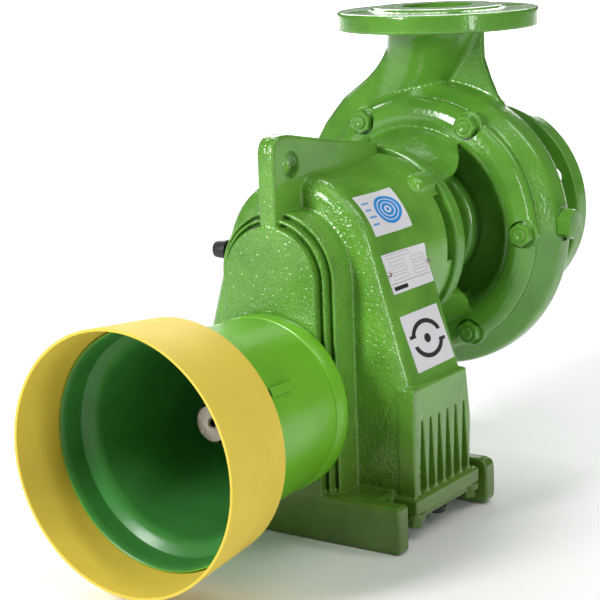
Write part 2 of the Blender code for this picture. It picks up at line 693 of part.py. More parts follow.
def neck(name, wide, deep, largest, top=0.0):
    """The neck's rings, smaller by wide and deep and no larger than the radius given."""
    points = [(x, z, min(a - wide, largest), min(b - deep, largest), y) for x, z, a, b, y in NECK]
    if top:
        points = [(0.0, top, largest, largest, VOLUTE_MID)] + points
    rings = []
    for x, z, a, b, y in points:
        turns = [math.tau * k / 20 for k in range(20)]
        rings.append([(x + a * math.cos(t), y + b * math.sin(t), z) for t in turns])
    return loft(name, rings)


def part_off(casing, name, room):
    """Give the flanged branch inside a box its own node, a gap clear of the casing."""
    branch = casing.copy()
    branch.data = casing.data.copy()
    bpy.context.scene.collection.objects.link(branch)
    combine(branch, [box(*room)], 'INTERSECT')
    finish(branch, name, CAST_GREEN)
    grown = [(low - GAP, high + GAP) for low, high in room]
    combine(casing, [box(*grown)], 'DIFFERENCE')


def volute_casing():
    """Casing with its outlet and inlet flanges, gusset and plug seat."""
    casing = volute_outside()
    joins = [turned("centre", [(0.0, SEAM_Y), (0.050, SEAM_Y), (0.050, CASING_BACK),
                               (0.0, CASING_BACK)], PUMP_AXIS, 36),
             neck("outlet_neck", 0.0, 0.0, 0.1)]
    joins.append(turned("inlet_neck", [(0.0, 0.300), (0.0600, 0.300), (0.0560, 0.3230),
                                       (0.0500, 0.3350), (0.0500, 0.3480), (0.0560, 0.3590),
                                       (0.0580, 0.3650), (0.0, 0.3650)], PUMP_AXIS, 36, 3.7))
    joins.append(turned("inlet_flange", [(0.0, INLET_RIM[0]), (INLET_FLANGE_R - 0.001, INLET_RIM[0]),
                                         (INLET_FLANGE_R, INLET_RIM[0] + 0.001),
                                         (INLET_FLANGE_R, INLET_RIM[1] - 0.001),
                                         (INLET_FLANGE_R - 0.001, INLET_RIM[1]),
                                         (0.069, INLET_RIM[1]), (0.069, INLET_FACE),
                                         (0.0, INLET_FACE)], PUMP_AXIS, 42, 0.9))
    rim = rod(OUTLET_FLANGE_R, (0, VOLUTE_MID, OUTLET_RIM_LOW), (0, VOLUTE_MID, OUTLET_RIM), 44)
    bevel(rim, 0.001, 1)
    face = rod(0.061, (0, VOLUTE_MID, OUTLET_RIM - 0.004), (0, VOLUTE_MID, OUTLET_FACE), 32)
    gusset = plate("gusset", [(0.0, 0.4100), (0.0475, 0.4100), (0.0475, 0.3965), (0.0480, 0.3745),
                              (0.0540, 0.3575), (0.0610, 0.3415), (0.0690, 0.3310),
                              (0.0660, 0.3150), (0.0, 0.3300)],
                   VOLUTE_MID - 0.0045, VOLUTE_MID + 0.0045)
    joins += [rim, face, gusset]
    combine(casing, joins, 'UNION')
    casing = settle(casing)
    cuts = [volute_inside(), neck("outlet_bore", 0.0085, 0.0055, OUTLET_BORE, 0.430),
            turned("cover_room", [(0.0, 0.1900), (0.1195, 0.1900), (0.1195, SEAM_Y - 0.0001),
                                  (0.0, SEAM_Y - 0.0001)], PUMP_AXIS, 49, 0.7),
            turned("cover_opening", [(0.0, SEAM_Y - 0.010), (0.1000, SEAM_Y - 0.010),
                                     (0.1000, COVER_BACK + 0.001), (0.0, COVER_BACK + 0.001)],
                   PUMP_AXIS, 47),
            turned("eye", [(0.0, COVER_BACK), (0.062, COVER_BACK), (0.062, 0.3105),
                           (0.0, 0.3105)], PUMP_AXIS, 36, 1.3),
            turned("inlet_bore", [(0.0, 0.300), (INLET_BORE, 0.300), (INLET_BORE, 0.395),
                                  (0.0, 0.395)], PUMP_AXIS, 38, 2.9)]
    for i in range(6):
        x, z = on_circle(STUD_CIRCLE, 60 * i)
        cuts.append(rod(0.0063, (x, 0.235, z), (x, 0.2578, z), 12))
    for i in range(8):
        x, z = on_circle(0.080, 22.5 + 45 * i)
        cuts.append(rod(0.009, (x, 0.350, z), (x, 0.390, z), 12))
    for i in range(4):
        a = math.radians(45 + 90 * i)
        x, y = 0.0725 * math.cos(a), VOLUTE_MID + 0.0725 * math.sin(a)
        cuts.append(rod(0.009, (x, y, 0.395), (x, y, 0.430), 12))
    cuts.append(rod(0.0085, (0.1180, PLUG_Y, PLUG_Z), (0.140, PLUG_Y, PLUG_Z), 20))
    cuts.append(rod(0.0158, (PLUG_SEAT, PLUG_Y, PLUG_Z), (0.150, PLUG_Y, PLUG_Z), 28))
    combine(casing, cuts, 'DIFFERENCE')
    casing = settle(casing)
    part_off(casing, "outlet_branch", ((-0.150, 0.150), (0.150, 0.400), (OUTLET_CUT, 0.450)))
    part_off(casing, "inlet_branch", ((-0.150, 0.150), (INLET_CUT, 0.450), (0.050, 0.360)))
    return finish(casing, "volute_casing", CAST_GREEN)


def casing_plug():
    """Plug with a thick hexagonal head in the casing's right-hand side."""
    plug = rod(0.0082, (0.1260, PLUG_Y, PLUG_Z), (0.1350, PLUG_Y, PLUG_Z), 20)
    head = rod(0.0140, (PLUG_SEAT + GAP, PLUG_Y, PLUG_Z), (0.1425, PLUG_Y, PLUG_Z), 6)
    bevel(head, 0.0012, 1, 50)
    combine(plug, [settle(head)], 'UNION')
    return finish(plug, "casing_plug", CAST_GREEN)


gearbox_housing()
sump_parts()
breather()
pto_shaft()
guard_bell()
guard_cuff()
bearing_cap()
lantern_cover()
seal_housing()
pump_shaft()
impeller()
impeller_nut()
cover_fasteners()
volute_casing()
casing_plug()
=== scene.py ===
# %% [markdown]
# # A centrifugal pump on its step-up gearbox
# The machine stands on two cast feet. A tractor turns the splined shaft in front,
# the gearbox speeds the motion up, and the pump behind it lifts water from the rear
# flange to the upper one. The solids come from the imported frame; this lesson gives
# each of them the form and finish of the real castings, plastic and steel.
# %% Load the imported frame
import math
import bpy
import bmesh
import numpy as np
from mathutils import Matrix, Vector


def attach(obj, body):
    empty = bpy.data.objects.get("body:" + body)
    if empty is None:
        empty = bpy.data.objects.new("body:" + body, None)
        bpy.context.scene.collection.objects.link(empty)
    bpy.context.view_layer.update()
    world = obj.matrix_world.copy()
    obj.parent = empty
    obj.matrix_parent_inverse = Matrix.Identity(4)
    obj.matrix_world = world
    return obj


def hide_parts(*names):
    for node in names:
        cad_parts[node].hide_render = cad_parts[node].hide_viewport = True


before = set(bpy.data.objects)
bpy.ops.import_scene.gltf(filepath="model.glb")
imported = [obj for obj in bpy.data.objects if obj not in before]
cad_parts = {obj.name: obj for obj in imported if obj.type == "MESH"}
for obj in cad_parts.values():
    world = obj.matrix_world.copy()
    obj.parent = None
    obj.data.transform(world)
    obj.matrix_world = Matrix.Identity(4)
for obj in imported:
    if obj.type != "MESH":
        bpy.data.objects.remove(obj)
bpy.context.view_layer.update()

# %% [markdown]
# ## Measures that every piece shares
# The origin is the centre of the front foot's underside. The input shaft points
# along -Y, the pump lies along +Y, and both shafts are parallel to Y. Blender works
# in metres, a drawing in millimetres. The shapes below are given in millimetres, and
# the helpers turn them into metres; the studio's measures stay in metres. The guard
# hangs a little below its shaft.
# %% Shared measures
MM = 0.001
INPUT_Z = 118.3
GUARD_Z = 115.7
PUMP_Z = 223.4
VOLUTE_Y = 275
BODY = "pump_body"


def metres(values):
    return [v * MM for v in values]


# %% [markdown]
# ## Working by hand, in code
# An operator acts on whatever is selected, so each helper first deselects
# everything and then picks its own object. Every helper leaves the object at the
# origin with its place in its mesh, as the CAD nodes have it.
# %% Helpers: selecting, applying, modifying


def focus(obj):
    """Select one object alone and make it active."""
    if bpy.context.mode != 'OBJECT':
        bpy.ops.object.mode_set(mode='OBJECT')
    bpy.ops.object.select_all(action='DESELECT')
    obj.select_set(True)
    bpy.context.view_layer.objects.active = obj


def settle(obj, name=None):
    """Write the object's place, turn and scale into its mesh."""
    focus(obj)
    bpy.ops.object.transform_apply(location=True, rotation=True, scale=True)
    if name:
        obj.name = name
        obj.data.name = name
    return obj


def modify(obj, kind, **settings):
    """Add a modifier, set it and apply it at once."""
    focus(obj)
    step = obj.modifiers.new(kind.lower(), kind)
    for key, value in settings.items():
        setattr(step, key, value)
    bpy.ops.object.modifier_apply(modifier=step.name)
    return obj


def edit_all(obj):
    """Enter edit mode with everything selected."""
    focus(obj)
    bpy.ops.object.mode_set(mode='EDIT')
    bpy.ops.mesh.select_all(action='SELECT')


def leave_closed(obj, name):
    """Turn every face outwards, leave edit mode and settle the object."""
    bpy.ops.mesh.select_all(action='SELECT')
    bpy.ops.mesh.normals_make_consistent(inside=False)
    bpy.ops.object.mode_set(mode='OBJECT')
    return settle(obj, name)


def triangles(obj):
    return sum(len(p.vertices) - 2 for p in obj.data.polygons)


# %% [markdown]
# ## Five ways to start a piece
# A block and a rod are primitives with rounded edges. A slab is a flat outline that
# is extruded. A turned piece is an outline spun about a shaft. A tube is one ring
# that is extruded again and again, each time to a new place and size.
# %% Helpers: blocks, rods, slabs, turned pieces, tubes


def round_edges(obj, width, segments=3, angle=40):
    """Bevel the sharp edges."""
    if width:
        modify(obj, 'BEVEL', width=width * MM, segments=segments, limit_method='ANGLE',
               angle_limit=math.radians(angle), harden_normals=False)
    return obj


def round_some(obj, chosen, width, segments):
    """Bevel only the edges whose both ends pass a test on their place in metres."""
    edit_all(obj)
    bpy.ops.mesh.select_mode(type='EDGE')
    bpy.ops.mesh.select_all(action='DESELECT')
    mesh = bmesh.from_edit_mesh(obj.data)
    for edge in mesh.edges:
        edge.select_set(all(chosen(v.co) for v in edge.verts))
    bmesh.update_edit_mesh(obj.data)
    bpy.ops.mesh.bevel(offset=width * MM, segments=segments, affect='EDGES')
    bpy.ops.mesh.select_mode(type='VERT')
    bpy.ops.object.mode_set(mode='OBJECT')
    return obj


def block(name, x, y, z, rounding=0.0, segments=3):
    """A box between limits on each axis."""
    spans = [metres(limits) for limits in (x, y, z)]
    bpy.ops.mesh.primitive_cube_add(size=1.0, location=[(a + b) / 2 for a, b in spans])
    obj = bpy.context.object
    obj.scale = [b - a for a, b in spans]
    return round_edges(settle(obj, name), rounding, segments)


def rod(name, start, end, radius, radius_end=None, sides=48, rounding=0.0, turn=0.0):
    """A cylinder or cone from one point to another."""
    start, end = Vector(metres(start)), Vector(metres(end))
    bpy.ops.mesh.primitive_cone_add(
        vertices=sides, radius1=radius * MM, depth=(end - start).length,
        radius2=(radius_end or radius) * MM, location=(start + end) / 2)
    obj = bpy.context.object
    obj.rotation_mode = 'QUATERNION'
    spin = Matrix.Rotation(math.radians(turn), 3, 'Z').to_quaternion()
    obj.rotation_quaternion = (end - start).to_track_quat('Z', 'Y') @ spin
    return round_edges(settle(obj, name), rounding)


def slab(name, outline, low, high, plane='XZ', rounding=0.0):
    """A flat outline, extruded from low to high across its plane."""
    bpy.ops.mesh.primitive_circle_add(vertices=len(outline), fill_type='NGON')
    obj = bpy.context.object
    low, high = metres((low, high))
    for vertex, point in zip(obj.data.vertices, outline):
        a, b = metres(point)
        vertex.co = {'XZ': (a, low, b), 'YZ': (low, a, b)}[plane]
    edit_all(obj)
    lift = {'XZ': (0, high - low, 0), 'YZ': (high - low, 0, 0)}[plane]
    bpy.ops.mesh.extrude_region_move(TRANSFORM_OT_translate={"value": lift})
    return round_edges(leave_closed(obj, name), rounding)


def turned(name, outline, height, steps=96, rounding=0.0):
    """Spin a closed outline of (radius, y) about the line at x 0 and this height."""
    bpy.ops.mesh.primitive_circle_add(vertices=len(outline), fill_type='NOTHING')
    obj = bpy.context.object
    for vertex, (radius, y) in zip(obj.data.vertices, outline):
        vertex.co = metres((radius, y, height))
    edit_all(obj)
    bpy.ops.mesh.spin(steps=steps, angle=math.radians(360.0), center=(0, 0, height * MM),
                      axis=(0, 1, 0))
    bpy.ops.mesh.select_all(action='SELECT')
    bpy.ops.mesh.remove_doubles(threshold=0.01 * MM)
    bpy.ops.mesh.delete_loose(use_verts=True, use_edges=True, use_faces=False)
    return round_edges(leave_closed(obj, name), rounding)


def tube(name, rings):
    """A ring extruded from section to section, closed at both ends; rings in metres."""
    bpy.ops.mesh.primitive_circle_add(vertices=len(rings[0]), fill_type='NGON')
    obj = bpy.context.object
    edit_all(obj)
    for i, ring in enumerate(rings):
        if i:
            bpy.ops.mesh.extrude_region_move(TRANSFORM_OT_translate={"value": (0, 0, MM)})
        mesh = bmesh.from_edit_mesh(obj.data)
        for vertex, place in zip([v for v in mesh.verts if v.select], ring):
            vertex.co = place
        bmesh.update_edit_mesh(obj.data)
    return leave_closed(obj, name)


# %% Helpers: points of an outline


def arc(centre, radius, start, end, steps):
    """Points of an arc, angles in degrees."""
    turns = [math.radians(start + (end - start) * i / steps) for i in range(steps + 1)]
    return [(centre[0] + radius * math.cos(t), centre[1] + radius * math.sin(t)) for t in turns]


def on_circle(radius, degrees):
    """X and Z of a point on a circle about the pump shaft."""
    turn = math.radians(degrees)
    return radius * math.cos(turn), PUMP_Z + radius * math.sin(turn)


def band(radius, radius_back, low, high, steps):
    """Out along one arc about the pump shaft and back along another."""
    return (arc((0, PUMP_Z), radius, low, high, steps)
            + arc((0, PUMP_Z), radius_back, high, low, steps))


def soft_corners(corners, radius, steps=5):
    """Replace each corner of an outline by an arc of about this radius."""
    most = 0.45    # share of a side that one corner may take
    points = [Vector(metres(corner)) for corner in corners]
    rounded = []
    for i, corner in enumerate(points):
        to_before, to_after = points[i - 1] - corner, points[(i + 1) % len(points)] - corner
        reach = min(radius * MM, to_before.length * most, to_after.length * most)
        a, b = corner + to_before.normalized() * reach, corner + to_after.normalized() * reach
        for t in (k / steps for k in range(steps + 1)):
            place = (1 - t) ** 2 * a + 2 * t * (1 - t) * corner + t ** 2 * b
            rounded.append([v / MM for v in place])
    return rounded


def about(height, degrees):
    """Place and turn of something about the line at x 0 and this height."""
    return (Matrix.Translation((0, 0, height * MM))
            @ Matrix.Rotation(math.radians(degrees), 4, 'Y'))


# %% [markdown]
# ## Casting in sand
# A casting has no crisp inner corner: the pattern maker fills each one with a
# fillet, or the iron would crack there. So the parts of a casting are joined, turned
# into one skin of small even faces by the voxel remesh, and relaxed. The corners
# that lie in a hollow are found by their curvature and relaxed much longer, which
# gives them the wide fillets, and the flats are then thinned out again.
# %% Helpers: join, cut, cast


def combine(obj, others, operation='UNION'):
    """Join with other closed pieces, or limit to them; they are used up."""
    for other in others:
        modify(obj, 'BOOLEAN', operation=operation, solver='MANIFOLD', object=other)
        bpy.data.objects.remove(other, do_unlink=True)
    return obj


def cut(obj, tools):
    return combine(obj, tools, 'DIFFERENCE')


def read_array(items, key, width, kind):
    """One attribute of all of a mesh's items as rows of numbers."""
    values = np.empty(len(items) * width, dtype=kind)
    items.foreach_get(key, values)
    return values.reshape(-1, width)


def neighbour_pull(mesh):
    """How far each vertex lies below the mean of its neighbours, along its normal."""
    count = len(mesh.vertices)
    places = read_array(mesh.vertices, "co", 3, np.float32)
    normals = read_array(mesh.vertex_normals, "vector", 3, np.float32)
    a, b = read_array(mesh.edges, "vertices", 2, np.int32).T
    share = np.bincount(a, minlength=count) + np.bincount(b, minlength=count)
    depth = np.zeros(count)
    for k in range(3):
        step = places[b, k] - places[a, k]
        pull = (np.bincount(a, weights=step, minlength=count)
                - np.bincount(b, weights=step, minlength=count))
        depth += pull / np.maximum(share, 1) * normals[:, k]
    return depth, a, b


HOLLOW = 0.10    # share of the grain by which a hollow's vertex lies low


def fill_hollows(obj, grain, reach, passes, crisp):
    """Relax the skin near its inner corners, out to about reach, but not where crisp."""
    depth, a, b = neighbour_pull(obj.data)
    near = (depth > HOLLOW * grain * MM).astype(np.float64)
    left = np.ones(len(near))
    if crisp:
        left = np.array([0.0 if crisp(v.co) else 1.0 for v in obj.data.vertices])
    near *= left
    rings = round(reach / grain)
    weight = near.copy()
    for ring in range(rings):
        spread = near.copy()
        np.maximum.at(spread, a, near[b])
        np.maximum.at(spread, b, near[a])
        weight = np.maximum(weight, spread * left * (1 - (ring + 1) / (rings + 1)))
        near = spread * left
    group = obj.vertex_groups.new(name="hollows")
    for low in (0.15, 0.4, 0.7):
        chosen = np.nonzero((weight >= low) & (weight < low + 0.3))[0].tolist()
        if chosen:
            group.add(chosen, low + 0.15, 'REPLACE')
    modify(obj, 'SMOOTH', factor=0.5, iterations=passes, vertex_group="hollows")
    obj.vertex_groups.clear()


def cast(obj, grain, reach, passes, keep, crisp=None):
    """Turn a joined blank into a cast skin with filled inner corners."""
    modify(obj, 'REMESH', mode='VOXEL', voxel_size=grain * MM)
    modify(obj, 'SMOOTH', factor=0.5, iterations=3)
    fill_hollows(obj, grain, reach, passes, crisp)
    modify(obj, 'TRIANGULATE')
    total = triangles(obj)
    if total > keep:
        modify(obj, 'DECIMATE', ratio=keep / total)
    print(obj.name, "cast skin", total, "->", triangles(obj), "triangles")


def finish_piece(obj, material, slot, *nodes, body=BODY, angle=35):
    """Give a piece its material, its body and the CAD nodes that it stands for."""
    focus(obj)
    bpy.ops.object.shade_smooth_by_angle(angle=math.radians(angle))
    obj.data.materials.clear()
    obj.data.materials.append(material)
    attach(obj, body)
    for node in nodes:
        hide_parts(node)
    print(obj.name, triangles(obj), "triangles")
    return obj


# %% [markdown]
# ## Building a material from nodes
# A node's input gets either a fixed value or a link from another node's output, so
# one helper takes both. A node group is a small tree of its own: what it takes and
# what it gives are named once, and each material then places it with its own values.
# %% Helpers: nodes and node groups
SOCKET_KINDS = {1: 'NodeSocketFloat', 3: 'NodeSocketVector', 4: 'NodeSocketColor'}


def wire(tree, node, inputs):
    """Give a node's inputs their values, or link them to other outputs."""
    for key, value in inputs.items():
        if isinstance(value, bpy.types.NodeSocket):
            tree.links.new(value, node.inputs[key])
        else:
            node.inputs[key].default_value = value


def add_node(tree, kind, inputs, output=None, **settings):
    """Add a shader node and hand back one of its outputs, or the node itself."""
    node = tree.nodes.new('ShaderNode' + kind)
    for key, value in settings.items():
        setattr(node, key, value)
    wire(tree, node, inputs)
    return node if output is None else node.outputs[output]


def calculate(tree, operation, *values, **settings):
    return add_node(tree, 'Math', dict(enumerate(values)), 0, operation=operation, **settings)


def mix_colours(tree, factor, first, second, **settings):
    """Mix node for colours; its colour sockets are inputs 6 and 7 and output 2."""
    return add_node(tree, 'Mix', {"Factor": factor, 6: first, 7: second}, 2,
                    data_type='RGBA', **settings)


def map_range(tree, value, limits):
    return add_node(tree, 'MapRange', {"Value": value, **limits}, "Result")


def node_group(name, takes, gives):
    """A new group: its tree, the values that it is given, and its output node."""
    group = bpy.data.node_groups.new(name, 'ShaderNodeTree')
    for direction, sockets in (('INPUT', takes), ('OUTPUT', gives)):
        for title, value in sockets.items():
            kind = SOCKET_KINDS[len(value) if isinstance(value, tuple) else 1]
            group.interface.new_socket(name=title, in_out=direction,
                                       socket_type=kind).default_value = value
    return group, group.nodes.new('NodeGroupInput').outputs, group.nodes.new('NodeGroupOutput')


# %% [markdown]
# ## Paint over rough iron
# The castings are sprayed with glossy green paint, thick enough to round the sand
# marks but not to hide them. Two effects are used by several finishes, so each is a
# node group. The sand marks give a height, with painted shade in the pebbles' hollows
# and painted highlights on their tops, and both grow weak behind a set place along Y;
# the attribute smooth_zone counts as extra distance along Y. The mottling varies the
# colour and the gloss a little, and can paint shade on a finish low down.
# %% Shared node groups
ZERO, BLACK, WHITE = (0.0, 0.0, 0.0), (0.0, 0.0, 0.0, 1.0), (1.0, 1.0, 1.0, 1.0)


def sand_marks_group():
    """Height of sand marks from pebbles of one size over slower waves, and painted shade and
    highlight that follow the pebbles.
    """
    group, given, out = node_group(
        "sand_marks", {"Pebbles per metre": 420.0, "Waves": 0.5, "Rough below Y": 0.036,
                       "Smooth share": 0.35, "Strength of pebble shading": 0.0},
        {"Height": 0.0, "Pebble shading": 0.0})
    place = add_node(group, 'TexCoord', {}, "Object")
    pebbles = add_node(group, 'TexNoise', {"Vector": place, "Scale": given["Pebbles per metre"],
                                           "Detail": 0.6, "Roughness": 0.4}, "Fac")
    waves = add_node(group, 'TexNoise', {"Vector": place, "Scale": 90.0, "Detail": 2.0}, "Fac")
    along = add_node(group, 'SeparateXYZ', {"Vector": place}, "Y")
    zone = add_node(group, 'Attribute', {}, "Fac", attribute_name="smooth_zone")
    fade = 0.012
    share = map_range(group, calculate(group, 'ADD', along, zone), {
        "From Min": given["Rough below Y"], "To Min": 1.0, "To Max": given["Smooth share"],
        "From Max": calculate(group, 'ADD', given["Rough below Y"], fade)})
    slow = calculate(group, 'MULTIPLY', waves, given["Waves"])
    height = calculate(group, 'ADD', pebbles, slow)
    # Painted shade and highlight: the colour darkens in the pebbles' hollows and lightens on their
    # tops.
    pebble_shading = calculate(group, 'SUBTRACT', pebbles, 0.5)
    for factor in (share, given["Strength of pebble shading"]):
        pebble_shading = calculate(group, 'MULTIPLY', pebble_shading, factor)
    wire(group, out, {"Height": calculate(group, 'MULTIPLY', height, share),
                      "Pebble shading": calculate(group, 'ADD', pebble_shading, 1.0)})
    return group


def mottle_and_shade_group():
    """Two colours mixed in soft patches, a roughness that varies with them, and painted shade low
    down.
    """
    group, given, out = node_group(
        "mottle", {"Colour": BLACK, "Shade": BLACK, "Patches per metre": 25.0,
                   "Low roughness": 0.2, "High roughness": 0.4, "Painted shade at height": -1.0,
                   "Painted shade ends at height": -0.5, "Painted shade tone": WHITE},
        {"Colour": BLACK, "Roughness": 0.0})
    place = add_node(group, 'TexCoord', {}, "Object")
    patches = add_node(group, 'TexNoise', {"Vector": place, "Detail": 4.0,
                                           "Scale": given["Patches per metre"]}, "Fac")
    ramp = map_range(group, patches, {"From Min": 0.35, "From Max": 0.70})
    colour = mix_colours(group, ramp, given["Colour"], given["Shade"])
    # Painted shade: below a set height the colour is darkened towards a given tone.
    height = add_node(group, 'SeparateXYZ', {"Vector": place}, "Z")
    shade_fade = map_range(group, height, {"From Min": given["Painted shade at height"],
                                      "From Max": given["Painted shade ends at height"]})
    low_shade = mix_colours(group, shade_fade, given["Painted shade tone"], WHITE)
    gloss = map_range(group, patches, {"To Min": given["Low roughness"],
                                       "To Max": given["High roughness"]})
    wire(group, out, {"Colour": mix_colours(group, 1.0, colour, low_shade, blend_type='MULTIPLY'),
                      "Roughness": gloss})
    return group


SAND, MOTTLE_AND_SHADE = sand_marks_group(), mottle_and_shade_group()

# %% [markdown]
# ## The finishes
# Each finish keeps its own Principled shader, because gloss, metal and coat are set
# there once for the whole surface. Only what changes over the surface comes from
# the groups: colour, roughness and the normal from a bump.
# %% Finishes


def finish(name, colour, shade_colour, roughness, sand=0.0, pebbles=420.0, waves=0.5,
           rough_below=10.0, smooth_share=1.0, metallic=0.0, coat=0.0, specular=0.5,
           painted_shade_below=(-1.0, -0.5), painted_shade_tone=(0.5, 0.5, 0.5), pebble_shading=0.0):
    """A mottled, lightly bumped material; sand is the depth of its marks in mm."""
    mat = bpy.data.materials.new(name)
    mat.use_nodes = True
    tree = mat.node_tree
    tone = add_node(tree, 'Group', {
        "Colour": (*colour, 1.0), "Shade": (*shade_colour, 1.0), "Low roughness": roughness[0],
        "High roughness": roughness[1], "Painted shade at height": painted_shade_below[0],
        "Painted shade ends at height": painted_shade_below[1], "Painted shade tone": (*painted_shade_tone, 1.0)}, node_tree=MOTTLE_AND_SHADE)
    looks = {"Metallic": metallic, "Coat Weight": coat, "Coat Roughness": 0.08,
             "Specular IOR Level": specular, "Base Color": tone.outputs["Colour"],
             "Roughness": tone.outputs["Roughness"]}
    if sand:
        marks = add_node(tree, 'Group', {
            "Pebbles per metre": pebbles, "Waves": waves, "Rough below Y": rough_below,
            "Smooth share": smooth_share, "Strength of pebble shading": pebble_shading}, node_tree=SAND).outputs
        looks["Normal"] = add_node(tree, 'Bump', {
            "Distance": sand * MM, "Strength": 1.0, "Height": marks["Height"]}, "Normal")
    # The pebbles' painted shade and highlight are multiplied into the base colour.
    if pebble_shading:
        looks["Base Color"] = mix_colours(tree, 1.0, looks["Base Color"], marks["Pebble shading"],
                                          blend_type='MULTIPLY')
    wire(tree, tree.nodes["Principled BSDF"], looks)
    return mat


# The gearbox casting gets a brownish painted shade towards its feet.
CAST_PAINT = finish("rough_green_casting", (0.135, 0.35, 0.036), (0.088, 0.255, 0.025),
                    (0.14, 0.21), sand=1.1, pebbles=450, rough_below=34 * MM,
                    smooth_share=0.18, coat=0.35, painted_shade_below=(0.03, 0.13),
                    painted_shade_tone=(0.72, 0.56, 0.55), pebble_shading=0.25)
PUMP_PAINT = finish("green_pump_casting", (0.115, 0.32, 0.033), (0.078, 0.235, 0.024),
                    (0.15, 0.24), sand=0.22, pebbles=340, waves=1.0, coat=0.25)
BELL_PAINT = finish("smooth_bell_green", (0.155, 0.47, 0.020), (0.138, 0.42, 0.018),
                    (0.24, 0.34), sand=0.04, pebbles=160, coat=0.15)
# A darker copy of the bell's paint, with the shade of the bell's inside painted in.
BELL_SHADED_INSIDE = finish("shaded_bell_green", (0.045, 0.23, 0.045), (0.036, 0.18, 0.038),
                     (0.26, 0.36), sand=0.06, pebbles=160, specular=0.35)
CUFF_PLASTIC = finish("yellow_cuff_plastic", (0.76, 0.58, 0.08), (0.70, 0.53, 0.07),
                      (0.55, 0.70), sand=0.05, pebbles=700, waves=2.0, specular=0.2)
STEEL = finish("machined_steel", (0.42, 0.39, 0.37), (0.34, 0.31, 0.29), (0.32, 0.45),
               sand=0.03, pebbles=1500, metallic=1.0)
BLACK_PLASTIC = finish("black_plastic", (0.018, 0.018, 0.018), (0.012, 0.012, 0.012),
                       (0.4, 0.55), sand=0.08, pebbles=900)
RAW_IRON = finish("raw_iron", (0.16, 0.13, 0.11), (0.10, 0.08, 0.07), (0.45, 0.7), sand=0.4,
                  pebbles=500, metallic=0.9)
LABEL = finish("pale_label", (0.74, 0.73, 0.76), (0.70, 0.69, 0.72), (0.25, 0.35))
print("finishes", len(bpy.data.materials))

# %% [markdown]
# ## The gearbox casting
# One casting holds everything in front of the lantern: a round-topped box with
# sloping sides, a stepped arch on its front wall, a ribbed pad on each side, two
# cross feet and the lifting lug. It is built from slabs and blocks that overlap,
# and becomes one skin when it is cast.
# %% Gearbox: body and stepped arch
FOOT_TOP = 40
BODY_FRONT, BODY_BACK = 32, 118
ARCH_CENTRE = (0, 218)


def body_blank():
    """Round-topped box with sloping sides, its front edge well rounded."""
    side = [(106.5, 14), (106.5, 129)]
    dome = arc((0, PUMP_Z), 75, 16, 164, 40)
    outline = side + dome + [(-x, z) for x, z in reversed(side)]
    box = slab("housing_casting", outline, BODY_FRONT, BODY_BACK)
    round_some(box, lambda p: p.y < (BODY_FRONT + 1) * MM, 13, 6)
    return round_some(box, lambda p: p.y > (BODY_BACK - 0.1) * MM, 2.5, 2)


def arch_blank():
    """Arched front panel with two ribs that step back beside it."""
    steps = []
    for half, face in ((44.6, -7.4), (50.4, -1.5), (56.0, 4.5)):
        outline = [(half, 34)] + arc(ARCH_CENTRE, half, 0, 180, 40) + [(-half, 34)]
        steps.append(slab("arch", outline, face, 46, rounding=0.9))
    grooves = []
    for inner, outer, floor in ((44.6, 48.0, 5.5), (50.4, 53.5, 11.0)):
        ring = (arc(ARCH_CENTRE, outer, 0, 180, 40) + [(-outer, 43), (-inner, 43)]
                + arc(ARCH_CENTRE, inner, 180, 0, 40) + [(inner, 43), (outer, 43)])
        grooves.append(slab("groove", ring, -20, floor))
    return cut(combine(steps[0], steps[1:]), grooves)


# %% Gearbox: ribbed side pads
GROOVES, FIRST_GROOVE, RIB_PITCH = 7, 44.6, 13.8


def side_pad(side):
    """Ribbed pad above the base flange, its flange, and what is cut from them."""
    def across(low, high):
        return sorted((side * low, side * high))

    outline = [(31.2, 15), (131.5, 15), (131.5, 40), (119.3, 128.5), (31.2, 128.5)]
    pad = slab("pad", outline, *across(96, 112.5), 'YZ', rounding=1.6)
    flange = block("pad_flange", across(88, 116), (27, 133), (15, 36), rounding=1.8)
    # Between the ribs the pad falls back in wedges that widen towards the flange.
    # Behind the last rib the wedge stays open to the rear.
    half, tip, root = 5.2, 1.2, 42.2
    grooves = []
    for i in range(GROOVES):
        y, last = FIRST_GROOVE + RIB_PITCH * i, i == GROOVES - 1
        behind, far = (16, 12) if last else (half, tip)
        shape = ([(y - tip, 100), (y - half, 47)] + arc((y, root), half, 180, 270, 6)
                 + [(y + behind, 37.0)] + ([] if last else arc((y, root), half, 285, 360, 5))
                 + [(y + behind, 47), (y + far, 100)])
        grooves.append(slab("groove", shape, *across(105.5, 118), 'YZ'))
    grooves.append(block("band_edge", across(111.4, 118), (33.5, 117), (101.6, 103.2)))
    return pad, flange, grooves


# %% Gearbox: feet and lug


def foot(name, front, back, corner):
    """Cross foot with rounded ends."""
    shape = soft_corners([(-120, 0), (120, 0), (120, FOOT_TOP), (-120, FOOT_TOP)], corner)
    return slab(name, shape, front, back, rounding=2.0)


def lug_blank():
    """Lifting lug: upright at the front, sloping down along the dome."""
    outline = [(-6.5, 250), (156.5, 250), (156.5, 310.5), (152, 312), (60, 327.5),
               (24, 334.6), (14, 336.4)]
    return slab("lug", outline + arc((9, 321), 15.5, 82, 180, 10), -8, 8, 'YZ', rounding=2.2)


# %% Gearbox: the whole casting
VENT_PLACE = (45, 228)


def sickle_outline(side):
    """Hollow above a boss on the rear face, thinner towards the top."""
    back = [on_circle(84.6 - 7.4 * k / 10, 46 + 40 * k / 10) for k in range(10, -1, -1)]
    return [(side * x, z) for x, z in arc((0, PUMP_Z), 92, 46, 86, 10) + back]


